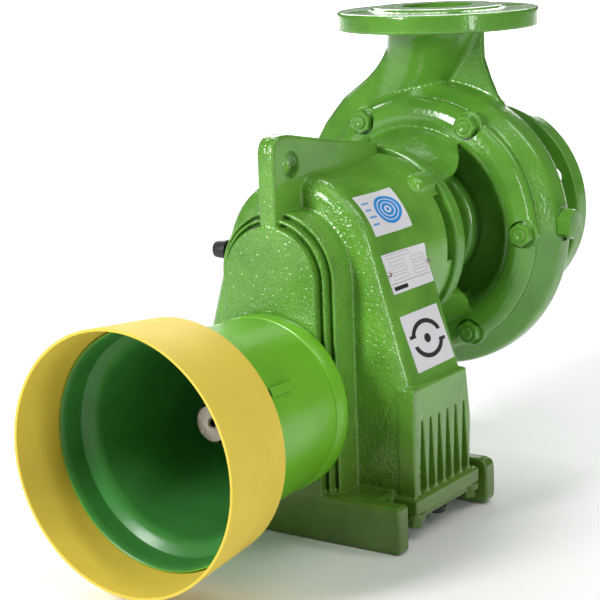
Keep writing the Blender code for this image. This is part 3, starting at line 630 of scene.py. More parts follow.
def housing_casting():
    body = body_blank()
    neck = [(0, 40), (70, 40), (76.5, 100), (80.5, 138), (80.5, 156.8), (0, 156.8)]
    tail = [(105, 12), (150.7, 12), (150.7, 37.9), (139.4, 60), (105, 140)]
    joins = [turned("neck", neck, PUMP_Z), slab("tail", tail, -82, 82, 'YZ', rounding=4)]
    cuts = []
    for side in (1, -1):
        pad, flange, grooves = side_pad(side)
        joins += [pad, flange]
        cuts += grooves
    combine(body, joins)
    cut(body, cuts + [block("under", (-200, 200), (-50, 200), (-30, 23))])
    joins = [arch_blank(), foot("front_foot", -7.5, 7.5, 4), foot("rear_foot", 138, 153, 9),
             block("ledge", (-92, 92), (-4, 44), (28, 39.7), rounding=3), lug_blank()]
    for x in (53.5, -53.5):
        joins.append(rod("boss", (x, 136, 276.5), (x, 156.5, 276.5), 11))
        bpy.ops.mesh.primitive_uv_sphere_add(radius=10.9 * MM, segments=32, ring_count=16,
                                             location=metres((x, 137.5, 276.5)))
        joins.append(settle(bpy.context.object, "boss_nose"))
    combine(body, joins)
    cuts = [rod("lug_hole", (-20, 19.8, 310.5), (20, 19.8, 310.5), 11)]
    for low, high in ((-8, 34), (146, 188)):
        cuts.append(slab("pocket", band(66, 92, low, high, 16), 147.5, 160))
    for side in (1, -1):
        cuts.append(slab("sickle", sickle_outline(side), 150, 160))
    cut(body, cuts)
    # The ribs of the arch and the wedges of the pads keep their tight corners.
    cast(body, 0.85, 6, 30, 190000, lambda p: p.y < 12.5 * MM or abs(p.x) > 104 * MM)
    return cut(body, [rod("input_bore", (0, -30, INPUT_Z), (0, 26, INPUT_Z), 20.3),
                      rod("output_bore", (0, 131, PUMP_Z), (0, 170, PUMP_Z), 14.35),
                      rod("vent_seat", (-91, *VENT_PLACE), (-78.2, *VENT_PLACE), 9.4),
                      rod("vent_bore", (-91, *VENT_PLACE), (-66, *VENT_PLACE), 6.2)])


housing = finish_piece(housing_casting(), CAST_PAINT, "cast_green", "gearbox_housing")

# %% [markdown]
# ## Where the gearbox is smooth
# The lug's sides, the feet and the ledge are as smooth as the side walls, though
# they lie in front. An attribute marks them: it is added to the place along Y, and
# 0.1 m is enough to carry any of them behind the rough zone.
# %% Smooth zone
BEHIND_ROUGH = 0.1
zone = housing.data.attributes.new("smooth_zone", 'FLOAT', 'POINT')
for vertex in housing.data.vertices:
    x, y, z = vertex.co / MM
    on_lug_side = z > 262 and 6.5 < abs(x) < 11 and y > -3
    zone.data[vertex.index].value = BEHIND_ROUGH if on_lug_side or z < FOOT_TOP + 1 else 0.0
print("smooth vertices", sum(item.value > 0 for item in zone.data))

# %% [markdown]
# ## The lantern and the pump cover
# Behind the gearbox a round flange carries a closed roof and two lower walls, and
# they end in the dished cover that closes the pump. The side windows between them
# give access to the shaft seal. It is one casting too, so it is built and cast in
# the same way, and the stud holes are drilled afterwards, when the skin is done.
# %% Lantern and cover
STUDS = arc((0, PUMP_Z), 109.2, 0, 300, 5)

# Place along Y, inner and outer radius, and the angles where the roof and the lower
# walls end beside the side windows.
LANTERN_RINGS = ((166, 61, 80.5, 42, 38), (182, 63.5, 80.8, 42.5, 38.5),
                 (200, 66, 81.5, 44, 40), (210, 67.5, 83.5, 47.5, 42.5),
                 (218, 69, 86.5, 52, 46), (232, 72.5, 93, 62, 55), (254.5, 75, 95, 64, 57))


def lantern_walls():
    """Roof and two lower walls, flaring to meet the cover."""
    walls = []
    for kind in ("roof", "right", "left"):
        rings = []
        for y, inner, outer, top, under in LANTERN_RINGS:
            low, high = {"roof": (top, 180 - top), "right": (-78, -under),
                         "left": (under - 180, -102)}[kind]
            rings.append([metres((x, y, z)) for x, z in band(outer, inner, low, high, 24)])
        walls.append(tube("lantern_" + kind, rings))
    return walls


def lantern_casting():
    plate = [(30, 157.3), (84.4, 157.3), (84.4, 172), (30, 172)]
    flange = turned("lantern_casting", plate, PUMP_Z, 128, rounding=1.5)
    dish = [(26, 253), (79, 253), (80.7, 249.5), (84.5, 240), (88.5, 233), (93, 228.8),
            (98, 227), (104, 226.6), (110, 228.6), (114.5, 232.2), (117.4, 236.5),
            (118.3, 240), (118.3, 241.2), (99.5, 241.2), (99.5, 262), (26, 262)]
    joins = [turned("dish", dish, PUMP_Z, 128)] + lantern_walls()
    for x, z in STUDS:
        joins.append(rod("stud_boss", (x, 231.6, z), (x, 240.6, z), 13.5, rounding=1.2))
    combine(flange, joins)
    cast(flange, 1.2, 5, 18, 100000)
    cuts = []
    for x, z in STUDS:
        cuts.append(rod("stud_hole", (x, 210, z), (x, 250, z), 6.6, sides=24))
        cuts.append(rod("spot_face", (x, 210, z), (x, 231.7, z), 12.3))
    return cut(flange, cuts)


finish_piece(lantern_casting(), PUMP_PAINT, "cast_green", "lantern_cover")

# %% [markdown]
# ## The volute casing
# The casing is a snail: its radius grows clockwise, seen from the front, until it
# leaves upwards as the outlet neck. A turned blank is pulled out of round to follow
# that rule. The neck is a tube of level rings, because its outline is easiest to
# read off the photograph height by height, and the flanges are turned.
# %% Volute: the snail
SEAM_RADIUS, MEAN_RADIUS = 118.3, 137.5


def volute_radius(degrees):
    """Outer radius, clockwise: 128 mm beside the outlet, 144 on the left, 129 at the neck."""
    start, growing, falling = 58, 240, 60
    turn = (start - degrees) % 360
    if turn <= growing:
        return 128 + 16 * turn / growing
    return max(144 - 15 * (turn - growing) / falling, 129)


def snail_blank():
    """Turned drum, then pulled out to the volute's growing radius."""
    outline = [(0, 241.5), (SEAM_RADIUS, 241.5), (119.5, 243.5), (133.5, 255.5),
               (135.3, 257.5), (136.6, 260.5), (137.3, 264.5), (MEAN_RADIUS, 268.5),
               (MEAN_RADIUS, 274), (136.6, 278), (134, 282), (129.5, 287), (122, 292),
               (108, 297), (90, 302.5), (74, 309), (62, 316), (60, 320.5), (0, 320.5)]
    drum = turned("volute_casing_skin", outline, PUMP_Z, 120)
    for vertex in drum.data.vertices:
        x, z = vertex.co.x / MM, vertex.co.z / MM - PUMP_Z
        radius = math.hypot(x, z)
        share = min(1.0, (radius - SEAM_RADIUS) / (MEAN_RADIUS - SEAM_RADIUS))
        if share > 0 and vertex.co.y > 242 * MM:
            grown = volute_radius(math.degrees(math.atan2(z, x))) - MEAN_RADIUS
            pull = 1 + share * grown / radius
            vertex.co.x, vertex.co.z = metres((x * pull, PUMP_Z + z * pull))
    return drum


# %% Volute: the outlet neck
# Level rings of the neck: centre along X, height, half width, half depth, centre along Y.
NECK_RINGS = ((0, 405, 48, 48, 275), (-2.5, 396, 44.5, 46, 275),
              (-7.3, 384, 42.1, 39.5, 274.5), (-13.1, 375, 41.4, 34, 273.5),
              (-20.6, 365, 41.6, 28.5, 272), (-29.5, 355, 43, 24, 270.5),
              (-41, 345, 45, 21.5, 270), (-53, 335, 46.7, 20.5, 269.5), (-70, 322, 41, 20, 269),
              (-85, 310, 36, 20, 269), (-98, 295, 32, 19.5, 269), (-106, 275, 30, 19, 269),
              (-112, 250, 26, 18, 269), (-115, 230, 22, 16, 269))


def neck_tube(name, wide=0.0, deep=0.0, largest=100.0):
    """Tube through the neck's rings, made thinner and limited for the bore."""
    line = [(x, z, min(a - wide, largest), min(b - deep, largest), y)
            for x, z, a, b, y in NECK_RINGS]
    if wide:
        line = [(0, 430, largest, largest, VOLUTE_Y)] + line
    turns = [math.tau * k / 48 for k in range(48)]
    return tube(name, [[Vector((x + a * math.cos(t), y + b * math.sin(t), z)) * MM
                        for t in turns] for x, z, a, b, y in line])


# %% Volute: the whole casting
PLUG_PLACE = (269, 228.4)


def casing_skin():
    casing = snail_blank()
    inlet = [(0, 300), (60, 300), (56, 323), (50, 335), (50, 348), (56, 359), (58, 365), (0, 365)]
    rear = [(0, 360), (99, 360), (100, 361), (100, 379), (99, 380), (69, 380), (69, 383), (0, 383)]
    web = [(0, 410), (47.5, 410), (47.5, 396.5), (48, 374.5), (54, 357.5), (61, 341.5),
           (69, 331), (66, 315), (0, 330)]
    room = [(0, 190), (119.5, 190), (119.5, 241.4), (0, 241.4)]
    inside = [(0, 232), (100, 232), (100, 262.5), (112, 264.5), (120, 268), (122, 273),
              (118, 279.5), (104, 287), (86, 294), (66, 300), (62, 311), (40, 312), (40, 395),
              (0, 395)]
    combine(casing, [
        neck_tube("outlet_neck"), turned("inlet_neck", inlet, PUMP_Z),
        turned("inlet_flange", rear, PUMP_Z, 128),
        rod("outlet_flange", (0, VOLUTE_Y, 401.9), (0, VOLUTE_Y, 418.9), 92.5, sides=128,
            rounding=1.5),
        rod("outlet_face", (0, VOLUTE_Y, 414), (0, VOLUTE_Y, 421.9), 61, sides=128),
        slab("gusset", web, VOLUTE_Y - 4.5, VOLUTE_Y + 4.5, rounding=1.5)])
    cut(casing, [turned("cover_room", room, PUMP_Z)])
    cast(casing, 1.3, 6, 22, 150000)
    cuts = [turned("water_space", inside, PUMP_Z), neck_tube("outlet_bore", 8.5, 5.5, 32.5)]
    for x, z in arc((0, PUMP_Z), 80, 22.5, 337.5, 7):
        cuts.append(rod("bolt_hole", (x, 350, z), (x, 390, z), 9, sides=32))
    for x, y in arc((0, VOLUTE_Y), 72.5, 45, 315, 3):
        cuts.append(rod("bolt_hole", (x, y, 390), (x, y, 430), 9, sides=32))
    cuts.append(rod("plug_seat", (129.3, *PLUG_PLACE), (150, *PLUG_PLACE), 15.8))
    cuts.append(rod("plug_bore", (118, *PLUG_PLACE), (140, *PLUG_PLACE), 8.5))
    return cut(casing, cuts)


finish_piece(casing_skin(), PUMP_PAINT, "cast_green", "volute_casing", "outlet_branch",
             "inlet_branch")

# %% [markdown]
# ## The guard around the input shaft
# A painted bell covers the joint of the drive shaft, and a thin yellow cuff closes
# the gap to the drive shaft's own guard. Both are turned from a thin outline. The
# bell has a flat on its lower left. Its inside lies in shade, so the inner faces get
# a darker copy of the bell's paint, with that shade painted in.
# %% Guard bell and cuff


def guard_bell():
    outer = [(74, -7.8), (75.2, -9.5), (75.5, -12), (75.7, -25.2), (75.3, -25.9), (74.4, -26.2),
             (76.5, -60), (80, -100), (82.6, -128), (83.6, -133), (86, -137.3), (90, -140.3),
             (93.5, -142), (95.2, -144.5), (95.5, -149), (96.2, -158), (96.6, -161),
             (97.3, -162.2), (97.6, -163.3), (97.3, -164.5), (96.4, -164.6), (95.6, -164.2)]
    inner = [(94.4, -162.5), (93.2, -159), (92.5, -149), (91.5, -145.3), (88.5, -143.3),
             (84.5, -141), (81.2, -137.5), (79.8, -133), (77, -100), (73.5, -60), (71.5, -20),
             (70, -13.5), (49, -13.5), (49, -7.8)]
    shell = turned("guard_bell_skin", outer + inner, GUARD_Z, 128)
    # The flat keeps the wall's thickness: both faces are pushed in to a plane.
    flat_inside, flat_outside, flare = 71.8, 74.8, 0.0875
    turn = about(GUARD_Z, 148)
    for vertex in shell.data.vertices:
        y = vertex.co.y / MM
        if not -127 < y < -38:
            continue
        local = turn.inverted() @ vertex.co
        radius = math.hypot(local.x, local.z) / MM
        middle = 75 + (-60 - y) * flare
        limit = flat_inside if radius < middle else flat_outside
        if local.x > limit * MM:
            local.x = limit * MM
            vertex.co = turn @ local
    tab = block("tab", (-3.5, 3.5), (-110, -80), (76.5, 83.6), rounding=0.8)
    tab.matrix_world = about(GUARD_Z, 60)
    return combine(shell, [settle(tab)])


bell = finish_piece(guard_bell(), BELL_PAINT, "bell_green", "guard_bell", angle=32)
# The inner faces take the darker copy: painted shade.
bell.data.materials.append(BELL_SHADED_INSIDE)
for face in bell.data.polygons:
    outward = Vector((face.center.x, 0, face.center.z - GUARD_Z * MM))
    if face.normal.dot(outward) < 0 or (face.normal.y < -0.8 and face.center.y > -0.02):
        face.material_index = 1
print("faces inside the bell", sum(face.material_index for face in bell.data.polygons))


def guard_cuff():
    outline = [(95.4, -130.4), (96.5, -130), (97.5, -130.6), (105.2, -208.4), (104.2, -208.8),
               (103, -208.2)]
    return turned("guard_cuff_skin", outline, GUARD_Z, 160)


finish_piece(guard_cuff(), CUFF_PLASTIC, "yellow_plastic", "guard_cuff", angle=50)

# %% [markdown]
# ## The splined input shaft
# The shaft end is the standard six-spline pattern: a turned bar with six straight
# slots, a groove for the locking balls of the coupling and a centre hole. The
# stamped strokes on its face are six small radial cuts.
# %% Splined input shaft


def input_shaft():
    tip = -92.8
    outline = [(0, tip), (14.6, tip), (17.45, tip + 3.4), (17.45, -58), (16.4, -56.6),
               (14.7, -55.4), (14.7, -49.2), (16.4, -48), (17.45, -46.6), (17.45, -14.5),
               (20, -13), (20, 25.5), (0, 25.5)]
    shaft = turned("input_shaft_bar", outline, INPUT_Z)
    cuts = [rod("centre", (0, -94, INPUT_Z), (0, -80, INPUT_Z), 3.1, sides=32),
            rod("chamfer", (0, -93.4, INPUT_Z), (0, -90.6, INPUT_Z), 4.9, 2.6, sides=32)]
    for i in range(6):
        slot = block("slot", (-4.3, 4.3), (-95, -22), (14.8, 22), 0.5, 2)
        stroke = block("stroke", (-0.45, 0.45), (-94, -92.45), (9.4, 12.6))
        for tool, extra in ((slot, 0), (stroke, 22)):
            tool.matrix_world = about(INPUT_Z, 60 * i + 30) @ about(0, extra)
            cuts.append(settle(tool))
    return round_edges(cut(shaft, cuts), 0.35, 2, 45)


def end_face_material():
    """Bright face, dark flanks: the bar's colour darkens just behind its tip."""
    mat = STEEL.copy()
    mat.name = "shaft_steel"
    tree = mat.node_tree
    base = tree.nodes["Principled BSDF"].inputs["Base Color"]
    place = add_node(tree, 'TexCoord', {}, "Object")
    along = add_node(tree, 'SeparateXYZ', {"Vector": place}, "Y")
    fade = map_range(tree, along, {"From Min": -92.2 * MM, "From Max": -88.0 * MM})
    tree.links.new(mix_colours(tree, fade, base.links[0].from_socket,
                               (0.035, 0.032, 0.030, 1.0)), base)
    return mat


finish_piece(input_shaft(), end_face_material(), "steel", "pto_shaft", body="input_shaft")

# %% [markdown]
# ## Cap, seal and pump shaft
# These are turned parts: a cap that holds the input bearing, the housing of the
# shaft seal inside the lantern, and the bare pump shaft that runs through it.
# %% Turned parts inside


def turned_part(name, node, material, slot, outline, height, body=BODY, rounding=0.6):
    part = round_edges(turned(name, outline, height), rounding, 2)
    finish_piece(part, material, slot, node, body=body)


turned_part("bearing_cap_ring", "input_bearing_cap", PUMP_PAINT, "cast_green",
            [(20.5, -14), (44, -14), (45, -13), (45, -7.8), (20.5, -7.8)], INPUT_Z)
turned_part("seal_ring", "seal_housing", PUMP_PAINT, "cast_green",
            [(22, 234.5), (52, 234.5), (55, 237.5), (55, 252.7), (22, 252.7)], PUMP_Z)
turned_part("rotor_bar", "pump_shaft", STEEL, "steel",
            [(0, 131), (14, 131), (14, 264), (11, 264), (11, 296), (6, 296), (6, 311.4),
             (5.4, 312), (0, 312)], PUMP_Z, body="rotor", rounding=0.3)

# %% [markdown]
# ## Studs and nuts of the pump cover
# Six studs stand on a circle and clamp the cover. A nut is a six-sided prism whose
# corners are turned away by a cone on its outer face. They were painted with the
# pump, so the edges are soft, and each nut stopped at another angle.
# %% Studs and nuts


def hexagon_nut(name, x, z, turn):
    """Nut with its axis along Y, chamfered on the front."""
    nut = rod(name, (x, 231.5, z), (x, 222.5, z), 10.9, sides=6, turn=turn)
    cone = [(0, 221), (8.6, 221), (8.9, 222.5), (10.9, 224.0), (11.4, 226), (11.4, 233), (0, 233)]
    limit = turned("limit", cone, 0, 48)
    limit.location = metres((x, 0, z))
    combine(nut, [settle(limit)], 'INTERSECT')
    cut(nut, [rod("bore", (x, 210, z), (x, 240, z), 6.15, sides=32)])
    return round_edges(nut, 0.45, 2, 28)


def cover_stud(name, x, z):
    """Stud with a few turned thread grooves and a rounded end."""
    outline = [(0, 222.0), (1.5, 221.4), (2.2, 221.0), (4.9, 221.0), (5.9, 222.0)]
    for y in (222.6 + 1.5 * i for i in range(6)):
        outline += [(5.9, y), (5.15, y + 0.55), (5.15, y + 0.75), (5.9, y + 1.3)]
    stud = turned(name, outline + [(5.9, 257), (0, 257)], 0, 40)
    stud.location = metres((x, 0, z))
    return settle(stud)


for i, (x, z) in enumerate(STUDS):
    number = i + 1
    finish_piece(hexagon_nut("painted_nut_%d" % number, x, z, 8 + 23 * i), PUMP_PAINT,
                 "cast_green", "cover_nut_%d" % number)
    finish_piece(cover_stud("painted_stud_%d" % number, x, z), PUMP_PAINT, "cast_green",
                 "cover_stud_%d" % number)

# %% [markdown]
# ## Plugs, breather and sump cover
# The casing has a hexagon plug on its side, the gearbox a vent on its left and a
# cover with bolts underneath. Bolt heads are prisms with softened edges.
# %% Casing plug


def casing_plug():
    head = rod("casing_plug_head", (129.6, *PLUG_PLACE), (142.5, *PLUG_PLACE), 14, sides=6,
               turn=4)
    combine(head, [rod("limit", (129.5, *PLUG_PLACE), (142.6, *PLUG_PLACE), 17.5, 13.0)],
            'INTERSECT')
    combine(head, [rod("thread", (126, *PLUG_PLACE), (132, *PLUG_PLACE), 8.2)])
    return round_edges(head, 1.4, 3, 28)


finish_piece(casing_plug(), PUMP_PAINT, "cast_green", "casing_plug")

# %% Sump cover, drain plug and breather
DRAIN_PLACE = (103, 82)


def sump_cover():
    """Bottom cover with four ears and the heads of its bolts."""
    cover = block("sump_cover_plate", (-111.5, 111.5), (33, 132), (16, 22.7), 1.5)
    joins = []
    for x, y in ((-107, 38), (-107, 128), (107, 38), (107, 128)):
        joins.append(rod("ear", (x, y, 16.2), (x, y, 22.5), 9.2, rounding=1.2))
        joins.append(rod("bolt_head", (x, y, 9.5), (x, y, 17), 7.5, sides=6, turn=17,
                         rounding=0.7))
    combine(cover, joins)
    return cut(cover, [rod("drain", (*DRAIN_PLACE, 10), (*DRAIN_PLACE, 20.2), 5.4)])


def drain_plug():
    """Black plug with a flanged hexagon head."""
    plug = rod("drain_plug_head", (*DRAIN_PLACE, 13.2), (*DRAIN_PLACE, 15.7), 8, rounding=0.6)
    return combine(plug, [
        rod("hexagon", (*DRAIN_PLACE, 8.5), (*DRAIN_PLACE, 13.6), 6.9, sides=6, rounding=0.8),
        rod("thread", (*DRAIN_PLACE, 15), (*DRAIN_PLACE, 19.8), 5.1)])


def breather_cap():
    """Black vent plug: a collar on the body and a ribbed cap on the collar."""
    cap = rod("breather_cap", (-78.5, *VENT_PLACE), (-81.5, *VENT_PLACE), 8.8, rounding=0.5)
    combine(cap, [rod("stem", (-68, *VENT_PLACE), (-79, *VENT_PLACE), 5.9),
                  rod("cap", (-81, *VENT_PLACE), (-92, *VENT_PLACE), 7.9, 7.2, rounding=1.2)])
    return cut(cap, [rod("rib_gap", (-83, *place), (-93, *place), 1.1, sides=12)
                     for place in arc(VENT_PLACE, 8.3, 0, 330, 11)])


finish_piece(sump_cover(), CAST_PAINT, "cast_green", "sump_cover")
finish_piece(drain_plug(), BLACK_PLASTIC, "black_plastic", "sump_drain_plug")
finish_piece(breather_cap(), BLACK_PLASTIC, "black_plastic", "breather_plug")

# %% [markdown]
# ## The impeller behind the inlet
# Through the inlet bore the impeller's eye shows, with its vanes and its nut. It is
# cast iron too, but left bare, because the pumped water would strip any paint.
# %% Impeller and its nut
VANES, VANE_START, VANE_LENGTH, VANE_SWEEP = 5, 34, 50, 78


def vane_outline(first):
    """Backward-curved vane that starts at an angle, 2 mm thick there and 5.2 mm later."""
    outer, inner = [], []
    for t in (k / 14 for k in range(15)):
        radius = VANE_START + VANE_LENGTH * t
        half = math.degrees((1.0 + 1.6 * min(1.0, 4 * t)) / radius)
        outer.append(on_circle(radius, first + VANE_SWEEP * t + half))
        inner.append(on_circle(radius, first + VANE_SWEEP * t - half))
    return outer + inner[::-1]


def impeller_casting():
    """Two discs with backward-curved vanes between them."""
    back = [(11.3, 264.5), (24, 264.5), (24, 268.5), (86, 268.5), (86, 272.5), (26, 272.5),
            (21, 276), (18, 285), (17, 295), (11.3, 295)]
    front = [(38.5, 282), (41, 281), (86, 281), (86, 285), (50, 285), (46.5, 288), (46, 306),
             (39.5, 306), (38.5, 305)]
    wheel = turned("impeller_wheel", back, PUMP_Z)
    joins = [turned("shroud", front, PUMP_Z)]
    for i in range(VANES):
        joins.append(slab("vane", vane_outline(360 / VANES * i), 271.5, 282.5))
    return combine(wheel, joins)


def impeller_nut():
    nut = rod("impeller_nut_body", (0, 296.3, PUMP_Z), (0, 307.5, PUMP_Z), 13.5, sides=6)
    cone = [(0, 296), (14.2, 296), (14.2, 304.5), (11.2, 308), (0, 308)]
    combine(nut, [turned("limit", cone, PUMP_Z, 48)], 'INTERSECT')
    cut(nut, [rod("bore", (0, 290, PUMP_Z), (0, 315, PUMP_Z), 6.3)])
    return round_edges(nut, 0.5, 2, 28)


finish_piece(impeller_casting(), RAW_IRON, "bare_iron", "impeller", body="rotor")
finish_piece(impeller_nut(), STEEL, "steel", "impeller_nut", body="rotor")

# %% [markdown]
# ## Labels without words
# The machine carries a sticker, a riveted data plate and a label on its sloping
# wall. Their places and sizes follow the photograph; their print is generic: a blue
# disc, empty fields and an arrow for the direction of rotation. Each label is a thin
# sheet that is wrapped on the casting, and its print is a mask in its own UV space.
# %% Print masks


def box_mask_group():
    """1 inside a rectangle given by its centre and half size in UV."""
    group, given, out = node_group(
        "print_box", {"UV": ZERO, "U": 0.5, "V": 0.5, "Half U": 0.5, "Half V": 0.5},
        {"Mask": 0.0})
    apart = add_node(group, 'SeparateXYZ', {"Vector": given["UV"]}).outputs
    near = [calculate(group, 'COMPARE', apart[axis], given[middle], given["Half " + middle])
            for axis, middle in (("X", "U"), ("Y", "V"))]
    wire(group, out, {"Mask": calculate(group, 'MULTIPLY', *near)})
    return group


def ring_mask_group():
    """1 on a ring given by its centre, mid radius and half width; V is stretched."""
    group, given, out = node_group(
        "print_ring", {"UV": ZERO, "U": 0.5, "V": 0.5, "Stretch": 1.0, "Radius": 0.3,
                       "Half width": 0.05}, {"Mask": 0.0})
    centre = add_node(group, 'CombineXYZ', {"X": given["U"], "Y": given["V"]}, 0)
    scale = add_node(group, 'CombineXYZ', {"X": 1.0, "Y": given["Stretch"], "Z": 0.0}, 0)
    apart = add_node(group, 'VectorMath', {0: given["UV"], 1: centre}, 0, operation='SUBTRACT')
    apart = add_node(group, 'VectorMath', {0: apart, 1: scale}, 0, operation='MULTIPLY')
    length = add_node(group, 'VectorMath', {0: apart}, "Value", operation='LENGTH')
    wire(group, out, {"Mask": calculate(group, 'COMPARE', length, given["Radius"],
                                        given["Half width"])})
    return group


PRINTS = {"box": box_mask_group(), "ring": ring_mask_group()}


def printed(name, layers):
    """Label stock with flat ink shapes: (colour, adding shapes, removing shapes)."""
    mat = LABEL.copy()
    mat.name = name
    tree = mat.node_tree
    base = tree.nodes["Principled BSDF"].inputs["Base Color"]
    colour = base.links[0].from_socket
    uv = add_node(tree, 'UVMap', {}, "UV", uv_map="UVMap")

    def mask(shapes):
        total = None
        for kind, values in shapes:
            shape = add_node(tree, 'Group', dict(enumerate((uv, *values))), "Mask",
                             node_tree=PRINTS[kind])
            total = shape if total is None else calculate(tree, 'MAXIMUM', total, shape)
        return total

    for ink, adding, removing in layers:
        amount = mask(adding)
        if removing:
            amount = calculate(tree, 'SUBTRACT', amount, mask(removing), use_clamp=True)
        colour = mix_colours(tree, amount, colour, (*ink, 1.0))
    tree.links.new(colour, base)
    return mat


# %% Labels: what is printed
BLUE, DARK, GREY = (0.020, 0.26, 0.68), (0.018, 0.018, 0.02), (0.24, 0.24, 0.26)
PALE, SOFT_BLUE = (0.74, 0.73, 0.76), (0.10, 0.33, 0.68)
DISC = (0.62, 0.52, 0.93)    # centre in U and V, and the stretch of V
sticker_print = printed("sticker_print", [
    (BLUE, [("ring", (*DISC, 0.155, 0.155))], []),
    (PALE, [("ring", (*DISC, radius, half)) for radius, half
            in ((0.155, 0.012), (0.235, 0.01), (0.06, 0.02))], []),
    (SOFT_BLUE, [("box", (0.17, 0.77, 0.09, 0.022)), ("box", (0.15, 0.60, 0.07, 0.022)),
                 ("box", (0.17, 0.43, 0.09, 0.022)), ("box", (0.16, 0.26, 0.08, 0.022))], [])])
plate_fields = [(0.36, 0.90, 0.26, 0.05)] + [(u, v, half, 0.055) for u, half
                                             in ((0.30, 0.17), (0.78, 0.15))
                                             for v in (0.72, 0.55, 0.38)]
plate_print = printed("plate_print", [
    (GREY, [("box", f) for f in plate_fields] + [("box", (0.5, 0.25, 0.47, 0.008))],
     [("box", (u, v, hu - 0.006, hv - 0.010)) for u, v, hu, hv in plate_fields]),
    (DARK, [("box", (0.22, 0.13, 0.16, 0.05))], [])])
arrow_print = printed("arrow_print", [
    (DARK, [("ring", (0.5, 0.5, 1.15, 0.34, 0.045))], [("box", (0.5, 0.5, 0.5, 0.07))]),
    (DARK, [("box", (0.16, 0.60, 0.08, 0.03)), ("box", (0.84, 0.40, 0.08, 0.03)),
            ("ring", (0.5, 0.5, 1.0, 0.04, 0.04))], [])])

# %% Labels: sheets wrapped on the casting
SHEET_CELLS = 40
HOVER = Vector((8 * MM, 0, 2 * MM))    # off the wall, before the sheet is wrapped


def label(name, corners, material, thickness):
    """A thin sheet between four corners, wrapped on the housing."""
    bpy.ops.mesh.primitive_grid_add(x_subdivisions=SHEET_CELLS, y_subdivisions=SHEET_CELLS,
                                    size=1.0)
    sheet = bpy.context.object
    low_left, low_right, top_right, top_left = (Vector(c) * MM for c in corners)
    for vertex in sheet.data.vertices:
        u, v = vertex.co.x + 0.5, vertex.co.y + 0.5
        vertex.co = ((1 - v) * ((1 - u) * low_left + u * low_right)
                     + v * ((1 - u) * top_left + u * top_right)) + HOVER
    settle(sheet, name)
    modify(sheet, 'SHRINKWRAP', target=bpy.data.objects["housing_casting"],
           wrap_method='PROJECT', use_project_x=False, use_project_y=False,
           use_project_z=False, use_negative_direction=True, use_positive_direction=True,
           offset=0.05 * MM)
    modify(sheet, 'SMOOTH', factor=0.5, iterations=6)
    modify(sheet, 'SOLIDIFY', thickness=thickness * MM, offset=1.0)
    finish_piece(sheet, material, "steel")


label("round_sticker", [(69, 47, 252.8), (70.8, 103.3, 253.3), (47.2, 103.6, 284.1),
                        (45.0, 47, 283.6)], sticker_print, 0.12)
label("data_plate", [(85.4, 49.5, 202.2), (85.5, 115.1, 202.0), (75.9, 113.6, 234.9),
                     (75.7, 46.2, 235.8)], plate_print, 0.5)
for number, y in ((1, 51.3), (2, 113.2)):
    out = Vector((0.957, 0.0, 0.290))
    low = Vector((80.7, y, 218.5)) - out
    head = rod("plate_rivet_%d" % number, low, low + 2.6 * out, 2.3, 1.5, sides=24,
               rounding=0.4)
    finish_piece(head, STEEL, "steel")
label("arrow_label", [(104.3, 53.3, 136.5), (104.1, 114.7, 137.2), (90.4, 109.4, 185.0),
                      (90.4, 48.3, 184.9)], arrow_print, 0.12)

# %% [markdown]
# ## Studio: floor, light and camera
# The photograph was taken against white. A large floor fills the view, a big light
# far behind brightens it up to the horizon, and a few soft rectangular lights in
# front, beside and above draw the highlights on the paint. The camera stands to the
# right of the input shaft and looks slightly down, and its place comes from the pipe
# flanges and the guard's rim.
# %% Floor and light
FLOOR_SIZE, FLOOR_DROP, WORLD_STRENGTH = 48.0, 0.0005, 0.12
AIM = Vector((0, 0.1, 0.2))


def studio():
    bpy.ops.mesh.primitive_plane_add(size=FLOOR_SIZE, location=(0, 0, -FLOOR_DROP))
    floor = bpy.context.object
    floor.name = "floor"
    paper = bpy.data.materials.new("floor_paper")
    paper.use_nodes = True
    wire(paper.node_tree, paper.node_tree.nodes["Principled BSDF"],
         {"Base Color": (0.9, 0.9, 0.9, 1), "Roughness": 0.9})
    floor.data.materials.append(paper)
    world = bpy.data.worlds.new("studio")
    bpy.context.scene.world = world
    world.use_nodes = True
    wire(world.node_tree, world.node_tree.nodes["Background"],
         {"Color": WHITE, "Strength": WORLD_STRENGTH})


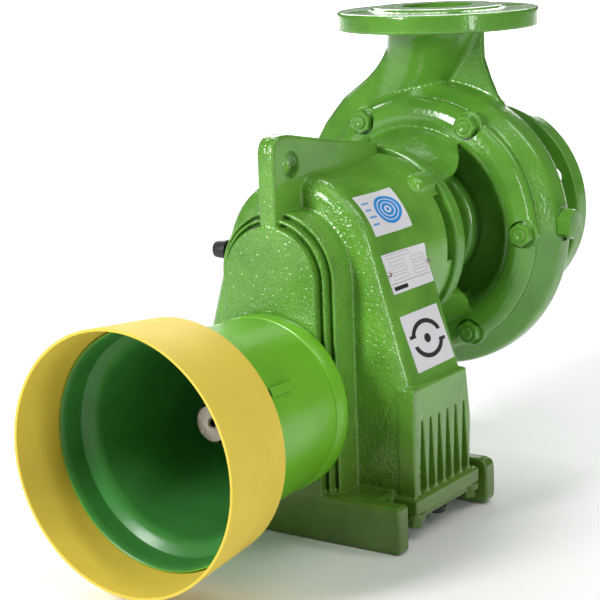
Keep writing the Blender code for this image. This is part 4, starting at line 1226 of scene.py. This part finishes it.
def soft_light(name, place, size, power):
    """A rectangular area light that faces the machine."""
    data = bpy.data.lights.new(name, 'AREA')
    data.shape = 'RECTANGLE'
    data.size, data.size_y = size
    data.energy = power
    lamp = bpy.data.objects.new(name, data)
    bpy.context.scene.collection.objects.link(lamp)
    lamp.location = place
    lamp.rotation_euler = (AIM - Vector(place)).to_track_quat('-Z', 'Y').to_euler()
    print(name, power, "W")
    return lamp


studio()
soft_light("key_light", (-0.65, -2.0, 1.3), (0.5, 1.0), 54)
soft_light("strip_light", (1.9, -0.5, 0.7), (0.15, 1.3), 11)
soft_light("right_light", (1.2, 0.7, 1.8), (0.5, 1.0), 8)
soft_light("top_light", (0.5, -0.2, 1.9), (0.7, 1.2), 6)
# The backdrop's light looks straight down on the floor instead.
soft_light("backdrop_light", (-4.2, 6.0, 3.4), (7.0, 7.0), 1000).rotation_euler = (0, 0, 0)
bpy.context.scene.view_settings.view_transform = 'Standard'

# %% Camera
CAMERA_AZIMUTH, CAMERA_ELEVATION, CAMERA_ROLL = 34.81, 12.54, -2.16
CAMERA_DISTANCE = 1570.15 * MM
CAMERA_TARGET = Vector((-1.27, 38.3, 192.3)) * MM
CAMERA_LENS, CAMERA_SENSOR = 111.6, 36.0


def photo_camera():
    a, e, r = (math.radians(v) for v in (CAMERA_AZIMUTH, CAMERA_ELEVATION, CAMERA_ROLL))
    back = Vector((math.sin(a) * math.cos(e), -math.cos(a) * math.cos(e), math.sin(e)))
    right = Vector((math.cos(a), math.sin(a), 0))
    up = back.cross(right)
    across = right * math.cos(r) + up * math.sin(r)
    upward = up * math.cos(r) - right * math.sin(r)
    data = bpy.data.cameras.new("photo_camera")
    data.lens, data.sensor_width = CAMERA_LENS, CAMERA_SENSOR
    camera = bpy.data.objects.new("photo_camera", data)
    bpy.context.scene.collection.objects.link(camera)
    camera.matrix_world = (Matrix.Translation(CAMERA_TARGET + back * CAMERA_DISTANCE)
                           @ Matrix((across, upward, back)).transposed().to_4x4())
    bpy.context.scene.camera = camera


photo_camera()
